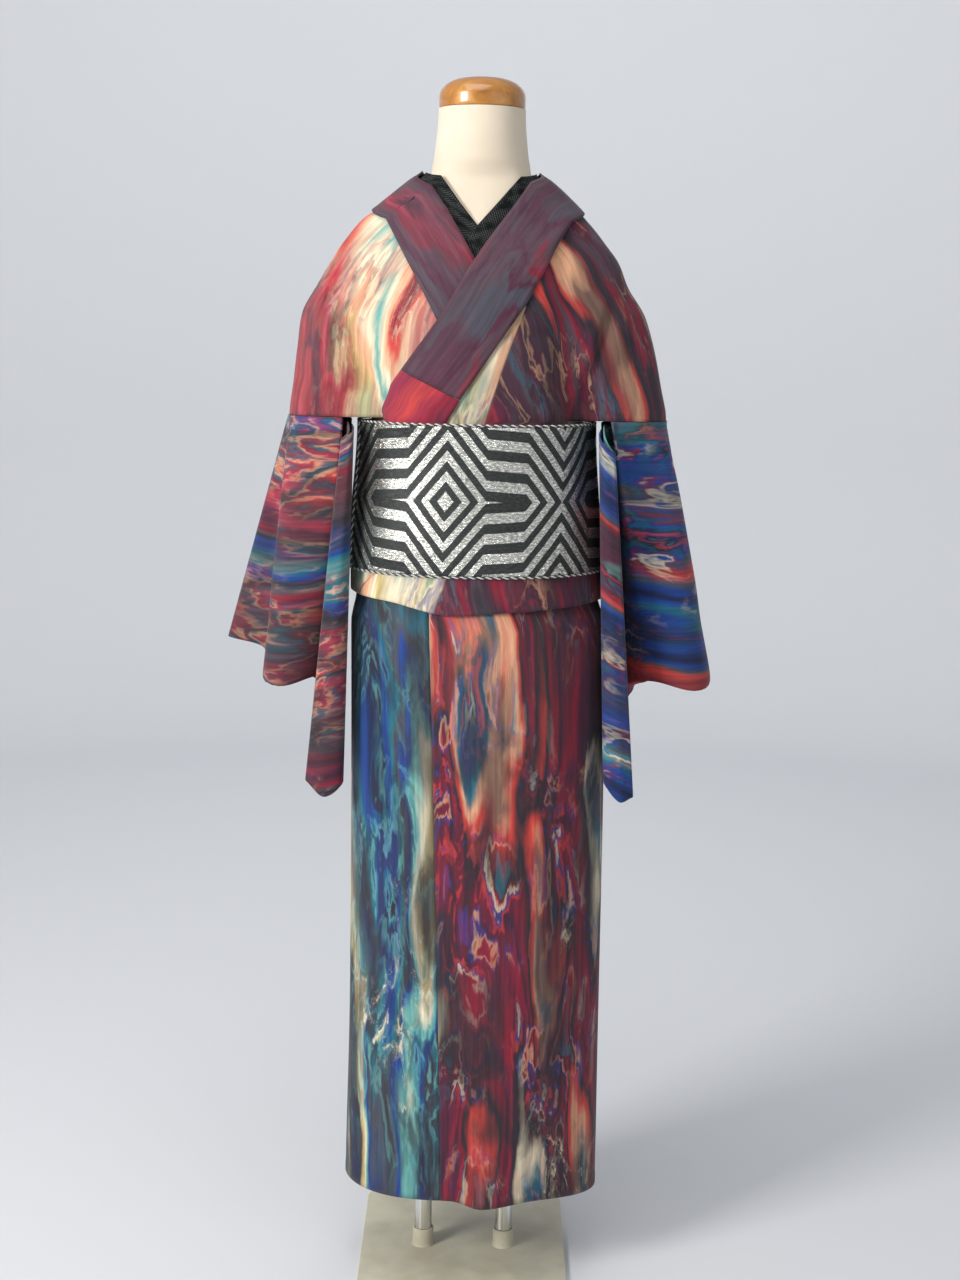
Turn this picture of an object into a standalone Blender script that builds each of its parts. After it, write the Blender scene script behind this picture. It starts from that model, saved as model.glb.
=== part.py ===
"""A cotton yukata robe, tied with its obi, worn on a limbless dress form that stands on two tubes.

Everything is in metres, +Z up. The origin is on the floor, under the middle of the base plate. The
robe faces -Y, and +X is the wearer's left. Angles run round the body: 0 at +X, 90 at the front,
180 at -X and 270 at the back.
"""

import math
from typing import Callable, NamedTuple, Sequence

import bmesh
import bpy
from mathutils import Vector

# Walls and gaps
CLOTH = 0.0015
COLLAR_CLOTH = 0.0020
FALSE_COLLAR_CLOTH = 0.0010
OBI_CLOTH = 0.0030
CORD = 0.0036
SEAM = 0.0003

# Levels
ARMHOLE_Z = 1.1480
OBI_TOP = 1.1410
OBI_LOW = 0.9570
SKIRT_TOP = 0.9750
FORM_LOW = 0.8000
NECK_TOP = 1.5330
CAP_TOP = 1.5710

# Stand
PLATE = (0.280, 0.332, 0.005)
PLATE_CORNER = 0.022
TUBE_X = 0.0555
TUBE_RADIUS = 0.0117
SOCKET_RADIUS = 0.0144
SOCKET_HEIGHT = 0.025

# How far each layer's middle stands out from the robe's innermost layer
BACK_COLLAR_OUT = 0.0038
RIGHT_COLLAR_OUT = 0.0036
LEFT_FRONT_OUT = 0.0070
LEFT_COLLAR_OUT = 0.0104
FALSE_LEFT_OUT = -0.0014
FALSE_RIGHT_OUT = -0.0032
SKIRT_WRAP_OUT = 0.0036
TUCK_INNER_OUT = 0.0078
TUCK_OUTER_OUT = 0.0112
TUCK_LEFT_STEP = 0.0008
UNDER_RIGHT_OUT = 0.0068
OBI_SIDE_OUT = 0.0080
OBI_FRONT_OUT = 0.0150
OBI_LOW_OUT = 0.0156

TORSO_POWER = 2.2
CAPE_POWER = 3.0
BLEND_POWER = 20.0


class Section(NamedTuple):
    """A level section of the draped body."""

    z: float
    half_width: float
    front: float
    back: float
    shift: float


class Cape(NamedTuple):
    """A level section of the cloth that hangs past the form's shoulders."""

    z: float
    reach: float
    front: float
    back: float
    shift: float


class ArmFold(NamedTuple):
    """The fold between chest and arm at a level: its angle from the side, and its depth."""

    z: float
    angle: float
    depth: float


class At(NamedTuple):
    """A place across the front, at a level."""

    z: float
    x: float


class Around(NamedTuple):
    """A height at an angle round the body."""

    angle: float
    z: float


class Station(NamedTuple):
    """A cross line of a collar: its edge at the neck and its outer edge, and how far out it lies."""

    inner_x: float
    inner_z: float
    outer_x: float
    outer_z: float
    out: float


class BackStation(NamedTuple):
    """A cross line of a collar behind the shoulder, by angle."""

    angle: float
    inner_z: float
    outer_z: float
    out: float


class Fold(NamedTuple):
    """A fold line of a sleeve, by distance from the body's middle: where its front and back layers
    start, and where its middle line ends with half the gap between the layers."""

    front_x: float
    front_y: float
    back_x: float
    back_y: float
    top_z: float
    low_x: float
    low_y: float
    low_z: float
    low_gap: float


TORSO = (
    Section(0.100, 0.1690, 0.1270, 0.1240, 0.0100),
    Section(0.360, 0.1660, 0.1260, 0.1250, 0.0110),
    Section(0.640, 0.1650, 0.1270, 0.1280, 0.0100),
    Section(0.880, 0.1640, 0.1270, 0.1280, 0.0075),
    Section(0.920, 0.1545, 0.1230, 0.1220, 0.0050),
    Section(0.953, 0.1515, 0.1200, 0.1180, 0.0020),
    Section(1.050, 0.1470, 0.1190, 0.1110, 0.0000),
    Section(1.148, 0.1450, 0.1190, 0.1060, 0.0000),
    Section(1.235, 0.1480, 0.1165, 0.1080, 0.0000),
    Section(1.300, 0.1500, 0.1120, 0.1110, -0.0020),
    Section(1.345, 0.1480, 0.0990, 0.1110, -0.0040),
    Section(1.390, 0.1200, 0.0800, 0.1060, -0.0030),
    Section(1.425, 0.0900, 0.0690, 0.0950, 0.0000),
    Section(1.455, 0.0680, 0.0620, 0.0860, 0.0000),
)
CAPE = (
    Cape(1.148, 0.2420, 0.0780, 0.0840, 0.0010),
    Cape(1.190, 0.2355, 0.0810, 0.0860, -0.0004),
    Cape(1.235, 0.2282, 0.0830, 0.0870, -0.0027),
    Cape(1.276, 0.2190, 0.0830, 0.0860, -0.0060),
    Cape(1.314, 0.1970, 0.0810, 0.0830, -0.0075),
    Cape(1.346, 0.1805, 0.0780, 0.0800, -0.0050),
    Cape(1.369, 0.1640, 0.0720, 0.0760, -0.0060),
    Cape(1.393, 0.1440, 0.0660, 0.0720, -0.0060),
    Cape(1.409, 0.1250, 0.0620, 0.0700, -0.0020),
    Cape(1.440, 0.0880, 0.0560, 0.0620, 0.0000),
    Cape(1.455, 0.0690, 0.0540, 0.0580, 0.0000),
)

# The fold that runs down from each shoulder to the underarm, between the chest and the arm
LEFT_ARM_FOLD = (
    ArmFold(1.148, 27.5, 0.0160),
    ArmFold(1.190, 22.5, 0.0190),
    ArmFold(1.235, 19.0, 0.0150),
    ArmFold(1.280, 18.0, 0.0080),
    ArmFold(1.330, 18.0, 0.0000),
)
RIGHT_ARM_FOLD = (
    ArmFold(1.148, 31.0, 0.0130),
    ArmFold(1.190, 26.0, 0.0130),
    ArmFold(1.235, 22.0, 0.0100),
    ArmFold(1.280, 20.0, 0.0045),
    ArmFold(1.330, 20.0, 0.0000),
)
ARM_FOLD_WIDTH = 6.5

# Where the body lengths end at the front, under the collars and along the overlap panel's seam
LEFT_EDGE = (
    At(0.905, -0.0460),
    At(0.955, -0.0330),
    At(1.148, 0.0116),
    At(1.294, 0.0590),
    At(1.357, 0.0850),
    At(1.392, 0.0990),
    At(1.418, 0.0900),
)
RIGHT_EDGE = (
    At(0.905, -0.1400),
    At(0.920, -0.1345),
    At(0.960, -0.1085),
    At(0.985, -0.1075),
    At(1.040, -0.0500),
    At(1.148, 0.0150),
    At(1.200, -0.0040),
    At(1.270, -0.0440),
    At(1.336, -0.0780),
    At(1.392, -0.1010),
    At(1.418, -0.0920),
)
OVERLAP_FREE_EDGE = (
    At(0.905, -0.1385),
    At(0.920, -0.1330),
    At(0.960, -0.1070),
    At(1.050, -0.0850),
    At(1.150, -0.0420),
    At(1.241, 0.0140),
    At(1.294, 0.0500),
)
SKIRT_SEAM = (At(0.100, -0.0300), At(0.400, -0.0370), At(0.670, -0.0457), At(1.000, -0.0560))

TUCK_LOW = (
    Around(-90.0, 0.915),
    Around(0.0, 0.918),
    Around(70.0, 0.911),
    Around(105.0, 0.906),
    Around(140.0, 0.9195),
    Around(180.0, 0.924),
    Around(270.0, 0.915),
)
HEM = (
    Around(-90.0, 0.118),
    Around(0.0, 0.112),
    Around(55.0, 0.127),
    Around(84.0, 0.119),
    Around(102.0, 0.130),
    Around(140.0, 0.125),
    Around(180.0, 0.121),
    Around(270.0, 0.118),
)

# The collar's cross lines, from the obi up over the wearer's left shoulder
LEFT_COLLAR = (
    Station(-0.1120, 1.1500, -0.0560, 1.1100, LEFT_COLLAR_OUT),
    Station(-0.1020, 1.1900, -0.0330, 1.1500, LEFT_COLLAR_OUT),
    Station(-0.0900, 1.2080, -0.0205, 1.1725, LEFT_COLLAR_OUT),
)
LEFT_COVER = (
    Station(-0.0898, 1.2085, -0.0202, 1.1730, LEFT_COLLAR_OUT),
    Station(-0.0450, 1.2750, 0.0235, 1.2410, LEFT_COLLAR_OUT),
    Station(-0.0090, 1.3360, 0.0570, 1.2920, LEFT_COLLAR_OUT),
    Station(0.0310, 1.3960, 0.0920, 1.3570, 0.0080),
    Station(0.0600, 1.4390, 0.1130, 1.3920, 0.0046),
)
RIGHT_COVER = (
    Station(0.0770, 1.2000, -0.0120, 1.1990, RIGHT_COLLAR_OUT),
    Station(0.0330, 1.2760, -0.0300, 1.2320, RIGHT_COLLAR_OUT),
    Station(-0.0120, 1.3550, -0.0720, 1.3120, RIGHT_COLLAR_OUT),
    Station(-0.0400, 1.4040, -0.1020, 1.3660, RIGHT_COLLAR_OUT),
    Station(-0.0590, 1.4330, -0.1160, 1.3920, RIGHT_COLLAR_OUT),
)
LEFT_COVER_BACK = (
    BackStation(0.0, 1.4560, 1.4100, BACK_COLLAR_OUT),
    BackStation(-15.0, 1.4545, 1.4080, BACK_COLLAR_OUT),
    BackStation(-30.0, 1.4530, 1.4050, BACK_COLLAR_OUT),
    BackStation(-60.0, 1.4470, 1.3930, BACK_COLLAR_OUT),
    BackStation(-90.0, 1.4440, 1.3860, BACK_COLLAR_OUT),
)

# The false collar's cross lines, hugging the neck
FALSE_LEFT = (
    Station(-0.0310, 1.3450, 0.0120, 1.3300, FALSE_LEFT_OUT),
    Station(-0.0030, 1.3870, 0.0320, 1.3640, FALSE_LEFT_OUT),
    Station(0.0260, 1.4200, 0.0500, 1.3900, FALSE_LEFT_OUT),
    Station(0.0500, 1.4480, 0.0700, 1.4150, FALSE_LEFT_OUT),
)
FALSE_RIGHT = (
    Station(0.0240, 1.3500, -0.0120, 1.3280, FALSE_RIGHT_OUT),
    Station(-0.0030, 1.3870, -0.0340, 1.3600, FALSE_RIGHT_OUT),
    Station(-0.0280, 1.4180, -0.0520, 1.3900, FALSE_RIGHT_OUT),
    Station(-0.0500, 1.4480, -0.0700, 1.4150, FALSE_LEFT_OUT),
)
FALSE_BACK = (
    BackStation(0.0, 1.4610, 1.4330, FALSE_LEFT_OUT),
    BackStation(-30.0, 1.4590, 1.4310, FALSE_LEFT_OUT),
    BackStation(-60.0, 1.4530, 1.4250, FALSE_LEFT_OUT),
    BackStation(-90.0, 1.4500, 1.4220, FALSE_LEFT_OUT),
)

# Angles of the sleeve's top round the armhole, at the first four fold lines
FRONT_ARMHOLE = (1.5, 5.0, 10.0, 21.0)
BACK_ARMHOLE = (1.5, 5.0, 10.0, 18.0)
RIGHT_SLEEVE = (
    Fold(0.241, -0.006, 0.241, 0.006, 1.147, 0.322, 0.015, 0.852, 0.003),
    Fold(0.238, -0.020, 0.238, 0.020, 1.147, 0.268, 0.006, 0.838, 0.010),
    Fold(0.230, -0.041, 0.230, 0.041, 1.147, 0.250, -0.026, 0.799, 0.022),
    Fold(0.173, -0.067, 0.197, 0.064, 1.147, 0.212, -0.022, 0.810, 0.016),
    Fold(0.174, -0.052, 0.191, 0.062, 1.146, 0.197, 0.012, 0.795, 0.006),
    Fold(0.180, -0.040, 0.180, 0.055, 1.145, 0.200, 0.052, 0.780, 0.003),
    Fold(0.172, -0.030, 0.170, 0.038, 1.144, 0.191, 0.058, 0.750, 0.003),
    Fold(0.164, -0.045, 0.163, 0.010, 1.143, 0.188, 0.015, 0.725, 0.003),
    Fold(0.162, -0.068, 0.162, -0.030, 1.141, 0.184, -0.035, 0.705, 0.003),
    Fold(0.159, -0.084, 0.1545, -0.078, 1.136, 0.168, -0.076, 0.680, 0.003),
    Fold(0.160, -0.090, 0.155, -0.097, 1.130, 0.189, -0.086, 0.664, 0.003),
    Fold(0.166, -0.092, 0.166, -0.098, 1.124, 0.211, -0.080, 0.682, 0.003),
)
LEFT_SLEEVE = (
    Fold(0.243, -0.006, 0.243, 0.006, 1.147, 0.300, 0.036, 0.846, 0.003),
    Fold(0.240, -0.020, 0.240, 0.020, 1.147, 0.301, 0.006, 0.830, 0.010),
    Fold(0.232, -0.041, 0.232, 0.041, 1.147, 0.288, -0.030, 0.802, 0.018),
    Fold(0.175, -0.067, 0.199, 0.064, 1.147, 0.244, -0.026, 0.812, 0.018),
    Fold(0.175, -0.052, 0.194, 0.062, 1.146, 0.214, 0.010, 0.800, 0.006),
    Fold(0.181, -0.040, 0.183, 0.055, 1.145, 0.212, 0.052, 0.780, 0.003),
    Fold(0.172, -0.030, 0.170, 0.038, 1.144, 0.198, 0.058, 0.750, 0.003),
    Fold(0.163, -0.045, 0.162, 0.010, 1.143, 0.194, 0.015, 0.725, 0.003),
    Fold(0.160, -0.069, 0.161, -0.030, 1.140, 0.190, -0.038, 0.712, 0.003),
    Fold(0.160, -0.086, 0.154, -0.080, 1.132, 0.174, -0.083, 0.690, 0.003),
    Fold(0.164, -0.094, 0.158, -0.101, 1.122, 0.191, -0.093, 0.666, 0.003),
    Fold(0.171, -0.097, 0.171, -0.103, 1.112, 0.207, -0.088, 0.670, 0.003),
)
CUFF_FOLDS = 4
STEPS_PER_FOLD = 2
SLEEVE_ROWS = 7
EDGE_ROUND = 0.0025
ARMHOLE_GAP = 0.0007

# How far the form's faces lie inside the robe's innermost layer, and its own half width and depths
WAIST_CLEAR = 0.0065
SHOULDER_CLEAR = 0.0036
NECK_CLEAR = 0.0085
NECK_SLOPE_Z = 1.380
FORM = (
    Section(0.800, 0.150, 0.110, 0.112, 0.005),
    Section(0.950, 0.148, 0.112, 0.112, 0.002),
    Section(1.148, 0.136, 0.112, 0.098, 0.000),
    Section(1.235, 0.152, 0.114, 0.100, 0.000),
    Section(1.310, 0.178, 0.106, 0.102, -0.002),
    Section(1.346, 0.176, 0.094, 0.098, -0.004),
    Section(1.393, 0.141, 0.075, 0.084, -0.004),
    Section(1.425, 0.098, 0.066, 0.070, 0.000),
    Section(1.450, 0.066, 0.060, 0.062, 0.000),
    Section(1.480, 0.059, 0.058, 0.058, 0.000),
    Section(1.533, 0.055, 0.055, 0.055, 0.000),
)


def read(rows: Sequence, key: float, column: str, by: str = "z") -> float:
    """A named column of a table, read smoothly at a place between its rows."""
    places = [getattr(row, by) for row in rows]
    values = [getattr(row, column) for row in rows]
    if key <= places[0]:
        return values[0]
    if key >= places[-1]:
        return values[-1]
    low = max(i for i in range(len(rows) - 1) if places[i] <= key)
    width = places[low + 1] - places[low]
    share = (key - places[low]) / width

    def slope(i: int) -> float:
        if i == 0 or i == len(rows) - 1:
            return 0.0
        before = (values[i] - values[i - 1]) / (places[i] - places[i - 1])
        after = (values[i + 1] - values[i]) / (places[i + 1] - places[i])
        return 0.0 if before * after <= 0 else 2 * before * after / (before + after)

    rise = values[low + 1] - values[low]
    start, end = slope(low) * width, slope(low + 1) * width
    bend = 3 * rise - 2 * start - end
    return values[low] + share * (start + share * (bend + share * (start + end - 2 * rise)))


def mix(a: float, b: float, share: float) -> float:
    """The value that lies a share of the way from one to the other."""
    return a + (b - a) * share


def ease(share: float) -> float:
    """A share from 0 to 1, with soft ends."""
    share = min(max(share, 0.0), 1.0)
    return share * share * (3 - 2 * share)


def oval(half_width: float, depth: float, power: float, angle: float) -> float:
    """The radius of a rounded oval at an angle in radians."""
    across = abs(math.cos(angle)) / half_width
    along = abs(math.sin(angle)) / depth
    return (across**power + along**power) ** (-1 / power)


def radius(z: float, degrees: float, sleeved: bool) -> float:
    """How far the robe's innermost layer is from its section's middle."""
    angle = math.radians(degrees)
    side = "front" if math.sin(angle) >= 0 else "back"
    body = oval(read(TORSO, z, "half_width"), read(TORSO, z, side), TORSO_POWER, angle)
    if not sleeved:
        return body
    cape = oval(read(CAPE, z, "reach"), read(CAPE, z, side), CAPE_POWER, angle)
    return (body**BLEND_POWER + cape**BLEND_POWER) ** (1 / BLEND_POWER) - arm_fold(z, degrees)


def arm_fold(z: float, degrees: float) -> float:
    """How deep the cloth turns in at the fold between chest and arm."""
    left = degrees <= 90.0
    rows = LEFT_ARM_FOLD if left else RIGHT_ARM_FOLD
    across = (degrees if left else 180.0 - degrees) - read(rows, z, "angle")
    return read(rows, z, "depth") * math.exp(-((across / ARM_FOLD_WIDTH) ** 2))


def ring_point(z: float, degrees: float, sleeved: bool) -> Vector:
    """A point of the robe's innermost layer."""
    angle = math.radians(degrees)
    middle = read(CAPE if sleeved else TORSO, z, "shift")
    reach = radius(z, degrees, sleeved)
    return Vector((middle + reach * math.cos(angle), -reach * math.sin(angle), z))


def drape(z: float, degrees: float, out: float = 0.0, sleeved: bool = False) -> Vector:
    """A point that stands a distance out from the robe's innermost layer."""
    step = 0.4
    lift = 0.002
    here = ring_point(z, degrees, sleeved)
    around = ring_point(z, degrees + step, sleeved) - ring_point(z, degrees - step, sleeved)
    upward = ring_point(z + lift, degrees, sleeved) - ring_point(z - lift, degrees, sleeved)
    return here + around.cross(upward).normalized() * -out


def angle_at(x: float, z: float, sleeved: bool) -> float:
    """The angle at which the front of the body passes a given x."""
    low, high = 0.0, 180.0
    for _ in range(30):
        middle = (low + high) / 2
        if ring_point(z, middle, sleeved).x > x:
            low = middle
        else:
            high = middle
    return (low + high) / 2


def add_object(name: str, mesh: bpy.types.Mesh, material: bpy.types.Material) -> bpy.types.Object:
    """An object of its own for one sub-part."""
    mesh.materials.append(material)
    mesh.shade_smooth()
    mesh.set_sharp_from_angle(angle=math.radians(40))
    obj = bpy.data.objects.new(name, mesh)
    bpy.context.scene.collection.objects.link(obj)
    return obj


def thicken(obj: bpy.types.Object, wall: float) -> None:
    """Gives a sheet its wall, half on each side of its points."""
    solid = obj.modifiers.new("wall", "SOLIDIFY")
    solid.thickness = wall
    solid.offset = 0
    solid.use_even_offset = True
    solid.use_quality_normals = True


def sheet(
    name: str,
    rows: Sequence[Sequence[Vector | None]],
    wall: float,
    material: bpy.types.Material,
    closed: bool = False,
) -> bpy.types.Object:
    """A cloth piece from rows of points, where a None leaves its faces out."""
    work = bmesh.new()
    points = [[None if p is None else work.verts.new(p) for p in row] for row in rows]
    columns = len(rows[0])
    for low, high in zip(points, points[1:]):
        for i in range(columns if closed else columns - 1):
            corners = (low[i], low[(i + 1) % columns], high[(i + 1) % columns], high[i])
            if None not in corners:
                work.faces.new(corners)
    bmesh.ops.delete(work, geom=[v for v in work.verts if not v.link_faces], context="VERTS")
    bmesh.ops.recalc_face_normals(work, faces=work.faces)
    mesh = bpy.data.meshes.new(name)
    work.to_mesh(mesh)
    work.free()
    obj = add_object(name, mesh, material)
    thicken(obj, wall)
    return obj


def solid_of_rings(name: str, rings: Sequence[Sequence[Vector]], material: bpy.types.Material) -> None:
    """A closed solid from level rings, capped at both ends."""
    work = bmesh.new()
    points = [[work.verts.new(p) for p in ring] for ring in rings]
    count = len(rings[0])
    for low, high in zip(points, points[1:]):
        for i in range(count):
            work.faces.new((low[i], low[(i + 1) % count], high[(i + 1) % count], high[i]))
    work.faces.new(points[0])
    work.faces.new(points[-1])
    bmesh.ops.recalc_face_normals(work, faces=work.faces)
    mesh = bpy.data.meshes.new(name)
    work.to_mesh(mesh)
    work.free()
    add_object(name, mesh, material)


def material(name: str, colour: tuple, roughness: float, metallic: float = 0.0) -> bpy.types.Material:
    """A plain Principled finish."""
    made = bpy.data.materials.new(name)
    made.use_nodes = True
    made.diffuse_color = (*colour, 1)
    shader = made.node_tree.nodes["Principled BSDF"]
    shader.inputs["Base Color"].default_value = (*colour, 1)
    shader.inputs["Roughness"].default_value = roughness
    shader.inputs["Metallic"].default_value = metallic
    return made


# The body lengths above the obi, and the tuck below it

UPPER_ROWS = (1.1480, 1.1850, 1.2250, 1.2620, 1.2950, 1.3250, 1.3520, 1.3780, 1.4000, 1.4180)
FRONT_COLUMNS = (0.0, 5.0, 10.0, 14.0, 18.0, 22.0, 26.0, 30.0, 34.0, 38.0, 43.0, 50.0, 58.0, 66.0, 74.0, 82.0, 90.0)
BACK_COLUMNS = (0.0, 5.0, 11.0, 17.0, 24.0, 31.0, 38.0, 46.0, 55.0, 64.0, 73.0, 82.0, 90.0)
OPEN_COLUMNS = 38.0
UNDER_ROWS = (1.1150, 1.0500, 0.9850)
SIDE_CLOSED_Z = 1.1000


class TuckRow(NamedTuple):
    """A row of the tuck: its height over the fold, and which layer it is in, 0 outer to 1 inner."""

    rise: float
    layer: float


TUCK_MIDDLE = 0.912
TUCK_ROWS = (
    TuckRow(0.040, 0.0),
    TuckRow(0.016, 0.0),
    TuckRow(0.004, 0.0),
    TuckRow(0.000, 0.5),
    TuckRow(0.004, 1.0),
    TuckRow(0.028, 1.0),
)


def left_front_out(degrees: float, z: float) -> float:
    """How far the wearer's left front stands out, where it lies over the right one."""
    return LEFT_FRONT_OUT * ease((degrees - 36.0) / 14.0) * ease((1.400 - z) / 0.060)


def tuck_point(row: TuckRow, degrees: float, step: float) -> Vector:
    """A point of the tuck that hangs below the obi."""
    low = read(TUCK_LOW, degrees, "z", by="angle")
    outer = TUCK_OUTER_OUT + step
    return drape(low + row.rise, degrees, mix(outer, TUCK_INNER_OUT, row.layer))


def under_point(z: float, degrees: float, start_out: float, end_out: float) -> Vector:
    """A point of the body length between the armhole and the tuck, behind the obi."""
    share = ease((UPPER_ROWS[0] - z) / (UPPER_ROWS[0] - UNDER_ROWS[-1]))
    return drape(z, degrees, mix(start_out, end_out, share))


def spread_angles(columns: Sequence[float], edge: float, side: float) -> list[float | None]:
    """Column angles below the armhole, where only the columns past the sleeve go on."""
    kept = [c for c in columns if c >= OPEN_COLUMNS]
    first = kept[0]
    span = columns[-1] - first
    return [None if c < first else mix(side, edge, (c - first) / span) for c in columns]


def body_length(name: str, left: bool, finish: bpy.types.Material) -> bpy.types.Object:
    """One body length, over the shoulder from the front tuck to the back tuck."""
    edges = LEFT_EDGE if left else RIGHT_EDGE
    step = TUCK_LEFT_STEP if left else 0.0
    under_out = TUCK_OUTER_OUT + step if left else UNDER_RIGHT_OUT
    half_seam = SEAM / 2 / read(TORSO, ARMHOLE_Z, "back")
    back_edge = 90.0 - math.degrees(half_seam)

    def turn(degrees: float) -> float:
        return degrees if left else 180.0 - degrees

    def front_edge(z: float, sleeved: bool) -> float:
        side = SEAM / 2 if left else -SEAM / 2
        found = angle_at(read(edges, z, "x") + side, z, sleeved)
        return found if left else 180.0 - found

    def out(z: float, degrees: float) -> float:
        return left_front_out(degrees, z) if left else 0.0

    rows = []
    for z in reversed(UPPER_ROWS):
        edge = front_edge(z, True)
        front = [c / 90.0 * edge for c in FRONT_COLUMNS]
        back = [-c / 90.0 * back_edge for c in BACK_COLUMNS[1:]]
        angles = list(reversed(front)) + back
        rows.append([drape(z, turn(a), out(z, a), True) for a in angles])
    for z in UNDER_ROWS:
        side = mix(OPEN_COLUMNS * 0.9, 0.25, ease((ARMHOLE_Z - z) / (ARMHOLE_Z - SIDE_CLOSED_Z)))
        front = spread_angles(FRONT_COLUMNS, front_edge(z, False), side)
        back = spread_angles(BACK_COLUMNS[1:], back_edge, side)
        row = [None if a is None else under_point(z, turn(a), out(z, a), under_out) for a in reversed(front)]
        row += [None if a is None else under_point(z, turn(-a), 0.0, under_out) for a in back]
        rows.append(row)
    for tuck in TUCK_ROWS:
        level = TUCK_MIDDLE + tuck.rise
        front = spread_angles(FRONT_COLUMNS, front_edge(level, False), 0.25)
        back = spread_angles(BACK_COLUMNS[1:], back_edge, 0.25)
        row = [None if a is None else tuck_point(tuck, turn(a), step) for a in reversed(front)]
        row += [None if a is None else tuck_point(tuck, turn(-a), step) for a in back]
        rows.append(row)
    return sheet(name, rows, CLOTH, finish)


def upper_overlap(finish: bpy.types.Material) -> bpy.types.Object:
    """The wearer's left overlap panel from under the collar to the tuck."""
    columns = 5
    rows = []
    top = 1.2880
    levels = [mix(top, ARMHOLE_Z, i / 4) for i in range(5)] + list(UNDER_ROWS)

    def across(z: float, sleeved: bool) -> list[float]:
        start = angle_at(read(LEFT_EDGE, z, "x") - SEAM / 2, z, sleeved)
        end = angle_at(read(OVERLAP_FREE_EDGE, z, "x"), z, sleeved)
        return [mix(start, end, i / columns) for i in range(columns + 1)]

    for z in levels:
        above = z >= ARMHOLE_Z
        row = []
        for a in across(z, above):
            if above:
                row.append(drape(z, a, left_front_out(a, z), True))
            else:
                row.append(under_point(z, a, LEFT_FRONT_OUT, TUCK_OUTER_OUT + TUCK_LEFT_STEP))
        rows.append(row)
    for tuck in TUCK_ROWS:
        level = TUCK_MIDDLE + tuck.rise
        rows.append([tuck_point(tuck, a, TUCK_LEFT_STEP) for a in across(level, False)])
    return sheet("overlap_left_upper", rows, CLOTH, finish)


# Collars

STATION_STEPS = 3
SHOULDER_STEPS = 5
COLLAR_COLUMNS = 3


class CrossLine(NamedTuple):
    """A cross line of a collar by the angles of its two edges."""

    inner_angle: float
    inner_z: float
    outer_angle: float
    outer_z: float
    out: float


def cross_line(station: Station) -> CrossLine:
    """A front station with its edges' places given as angles."""
    inner = angle_at(station.inner_x, station.inner_z, True)
    outer = angle_at(station.outer_x, station.outer_z, True)
    return CrossLine(inner, station.inner_z, outer, station.outer_z, station.out)


def back_line(station: BackStation, left: bool) -> CrossLine:
    """A back station on one side of the body."""
    degrees = station.angle if left else 180.0 - station.angle
    return CrossLine(degrees, station.inner_z, degrees, station.outer_z, station.out)


def front_row(station: Station) -> list[Vector]:
    """Points straight across a collar where it lies on the chest."""
    row = []
    for i in range(COLLAR_COLUMNS + 1):
        x = mix(station.inner_x, station.outer_x, i / COLLAR_COLUMNS)
        z = mix(station.inner_z, station.outer_z, i / COLLAR_COLUMNS)
        row.append(drape(z, angle_at(x, z, True), station.out, True))
    return row


def turned_row(line: CrossLine) -> list[Vector]:
    """Points across a collar on the shoulder or the back."""
    row = []
    for i in range(COLLAR_COLUMNS + 1):
        degrees = mix(line.inner_angle, line.outer_angle, i / COLLAR_COLUMNS)
        z = mix(line.inner_z, line.outer_z, i / COLLAR_COLUMNS)
        row.append(drape(z, degrees, line.out, True))
    return row


def between(rows: Sequence, make: type, steps: int) -> list:
    """A table's rows with evenly mixed ones between them."""
    made = []
    for low, high in zip(rows, rows[1:]):
        made += [make(*(mix(a, b, i / steps) for a, b in zip(low, high))) for i in range(steps)]
    return [*made, rows[-1]]


def collar_rows(stations: Sequence[Station]) -> list[list[Vector]]:
    """Rows of points across a collar on the chest."""
    return [front_row(station) for station in between(stations, Station, STATION_STEPS)]


def collar_back_rows(front_end: Station, stations: Sequence[BackStation], left: bool) -> list[list[Vector]]:
    """Rows of points across a collar, over the shoulder to the middle of the back."""
    lines = [back_line(station, left) for station in stations]
    over = between((cross_line(front_end), lines[0]), CrossLine, SHOULDER_STEPS)[1:-1]
    return [turned_row(line) for line in over + between(lines, CrossLine, STATION_STEPS)]


def round_collar(
    name: str,
    left: Sequence[Station],
    right: Sequence[Station],
    back: Sequence[BackStation],
    wall: float,
    finish: bpy.types.Material,
) -> bpy.types.Object:
    """A collar from one front end, round the back of the neck, to the other front end."""
    rows = collar_rows(left)
    rows += collar_back_rows(left[-1], back, True)
    rows += reversed(collar_back_rows(right[-1], back, False)[:-1])
    rows += reversed(collar_rows(right))
    return sheet(name, rows, wall, finish)


# Skirt

SKIRT_LEVELS = (SKIRT_TOP, 0.955, 0.922, 0.885)
LOWER_SKIRT_ROWS = 5


def skirt_panel(
    name: str,
    start: Callable[[float], float],
    end: Callable[[float], float],
    out: Callable[[float], float],
    columns: int,
    finish: bpy.types.Material,
) -> bpy.types.Object:
    """A skirt panel from under the obi to the hem, between two angles."""
    shares = [j / columns for j in range(columns + 1)]
    hems = [read(HEM, mix(start(HEM[0].z), end(HEM[0].z), share), "z", by="angle") for share in shares]
    levels = [[z] * len(shares) for z in SKIRT_LEVELS]
    for i in range(1, LOWER_SKIRT_ROWS + 1):
        levels.append([mix(SKIRT_LEVELS[-1], hem, i / LOWER_SKIRT_ROWS) for hem in hems])
    rows = []
    for row in levels:
        angles = [mix(start(z), end(z), share) for z, share in zip(row, shares)]
        rows.append([drape(z, degrees, out(degrees)) for z, degrees in zip(row, angles)])
    return sheet(name, rows, CLOTH, finish)


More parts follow.
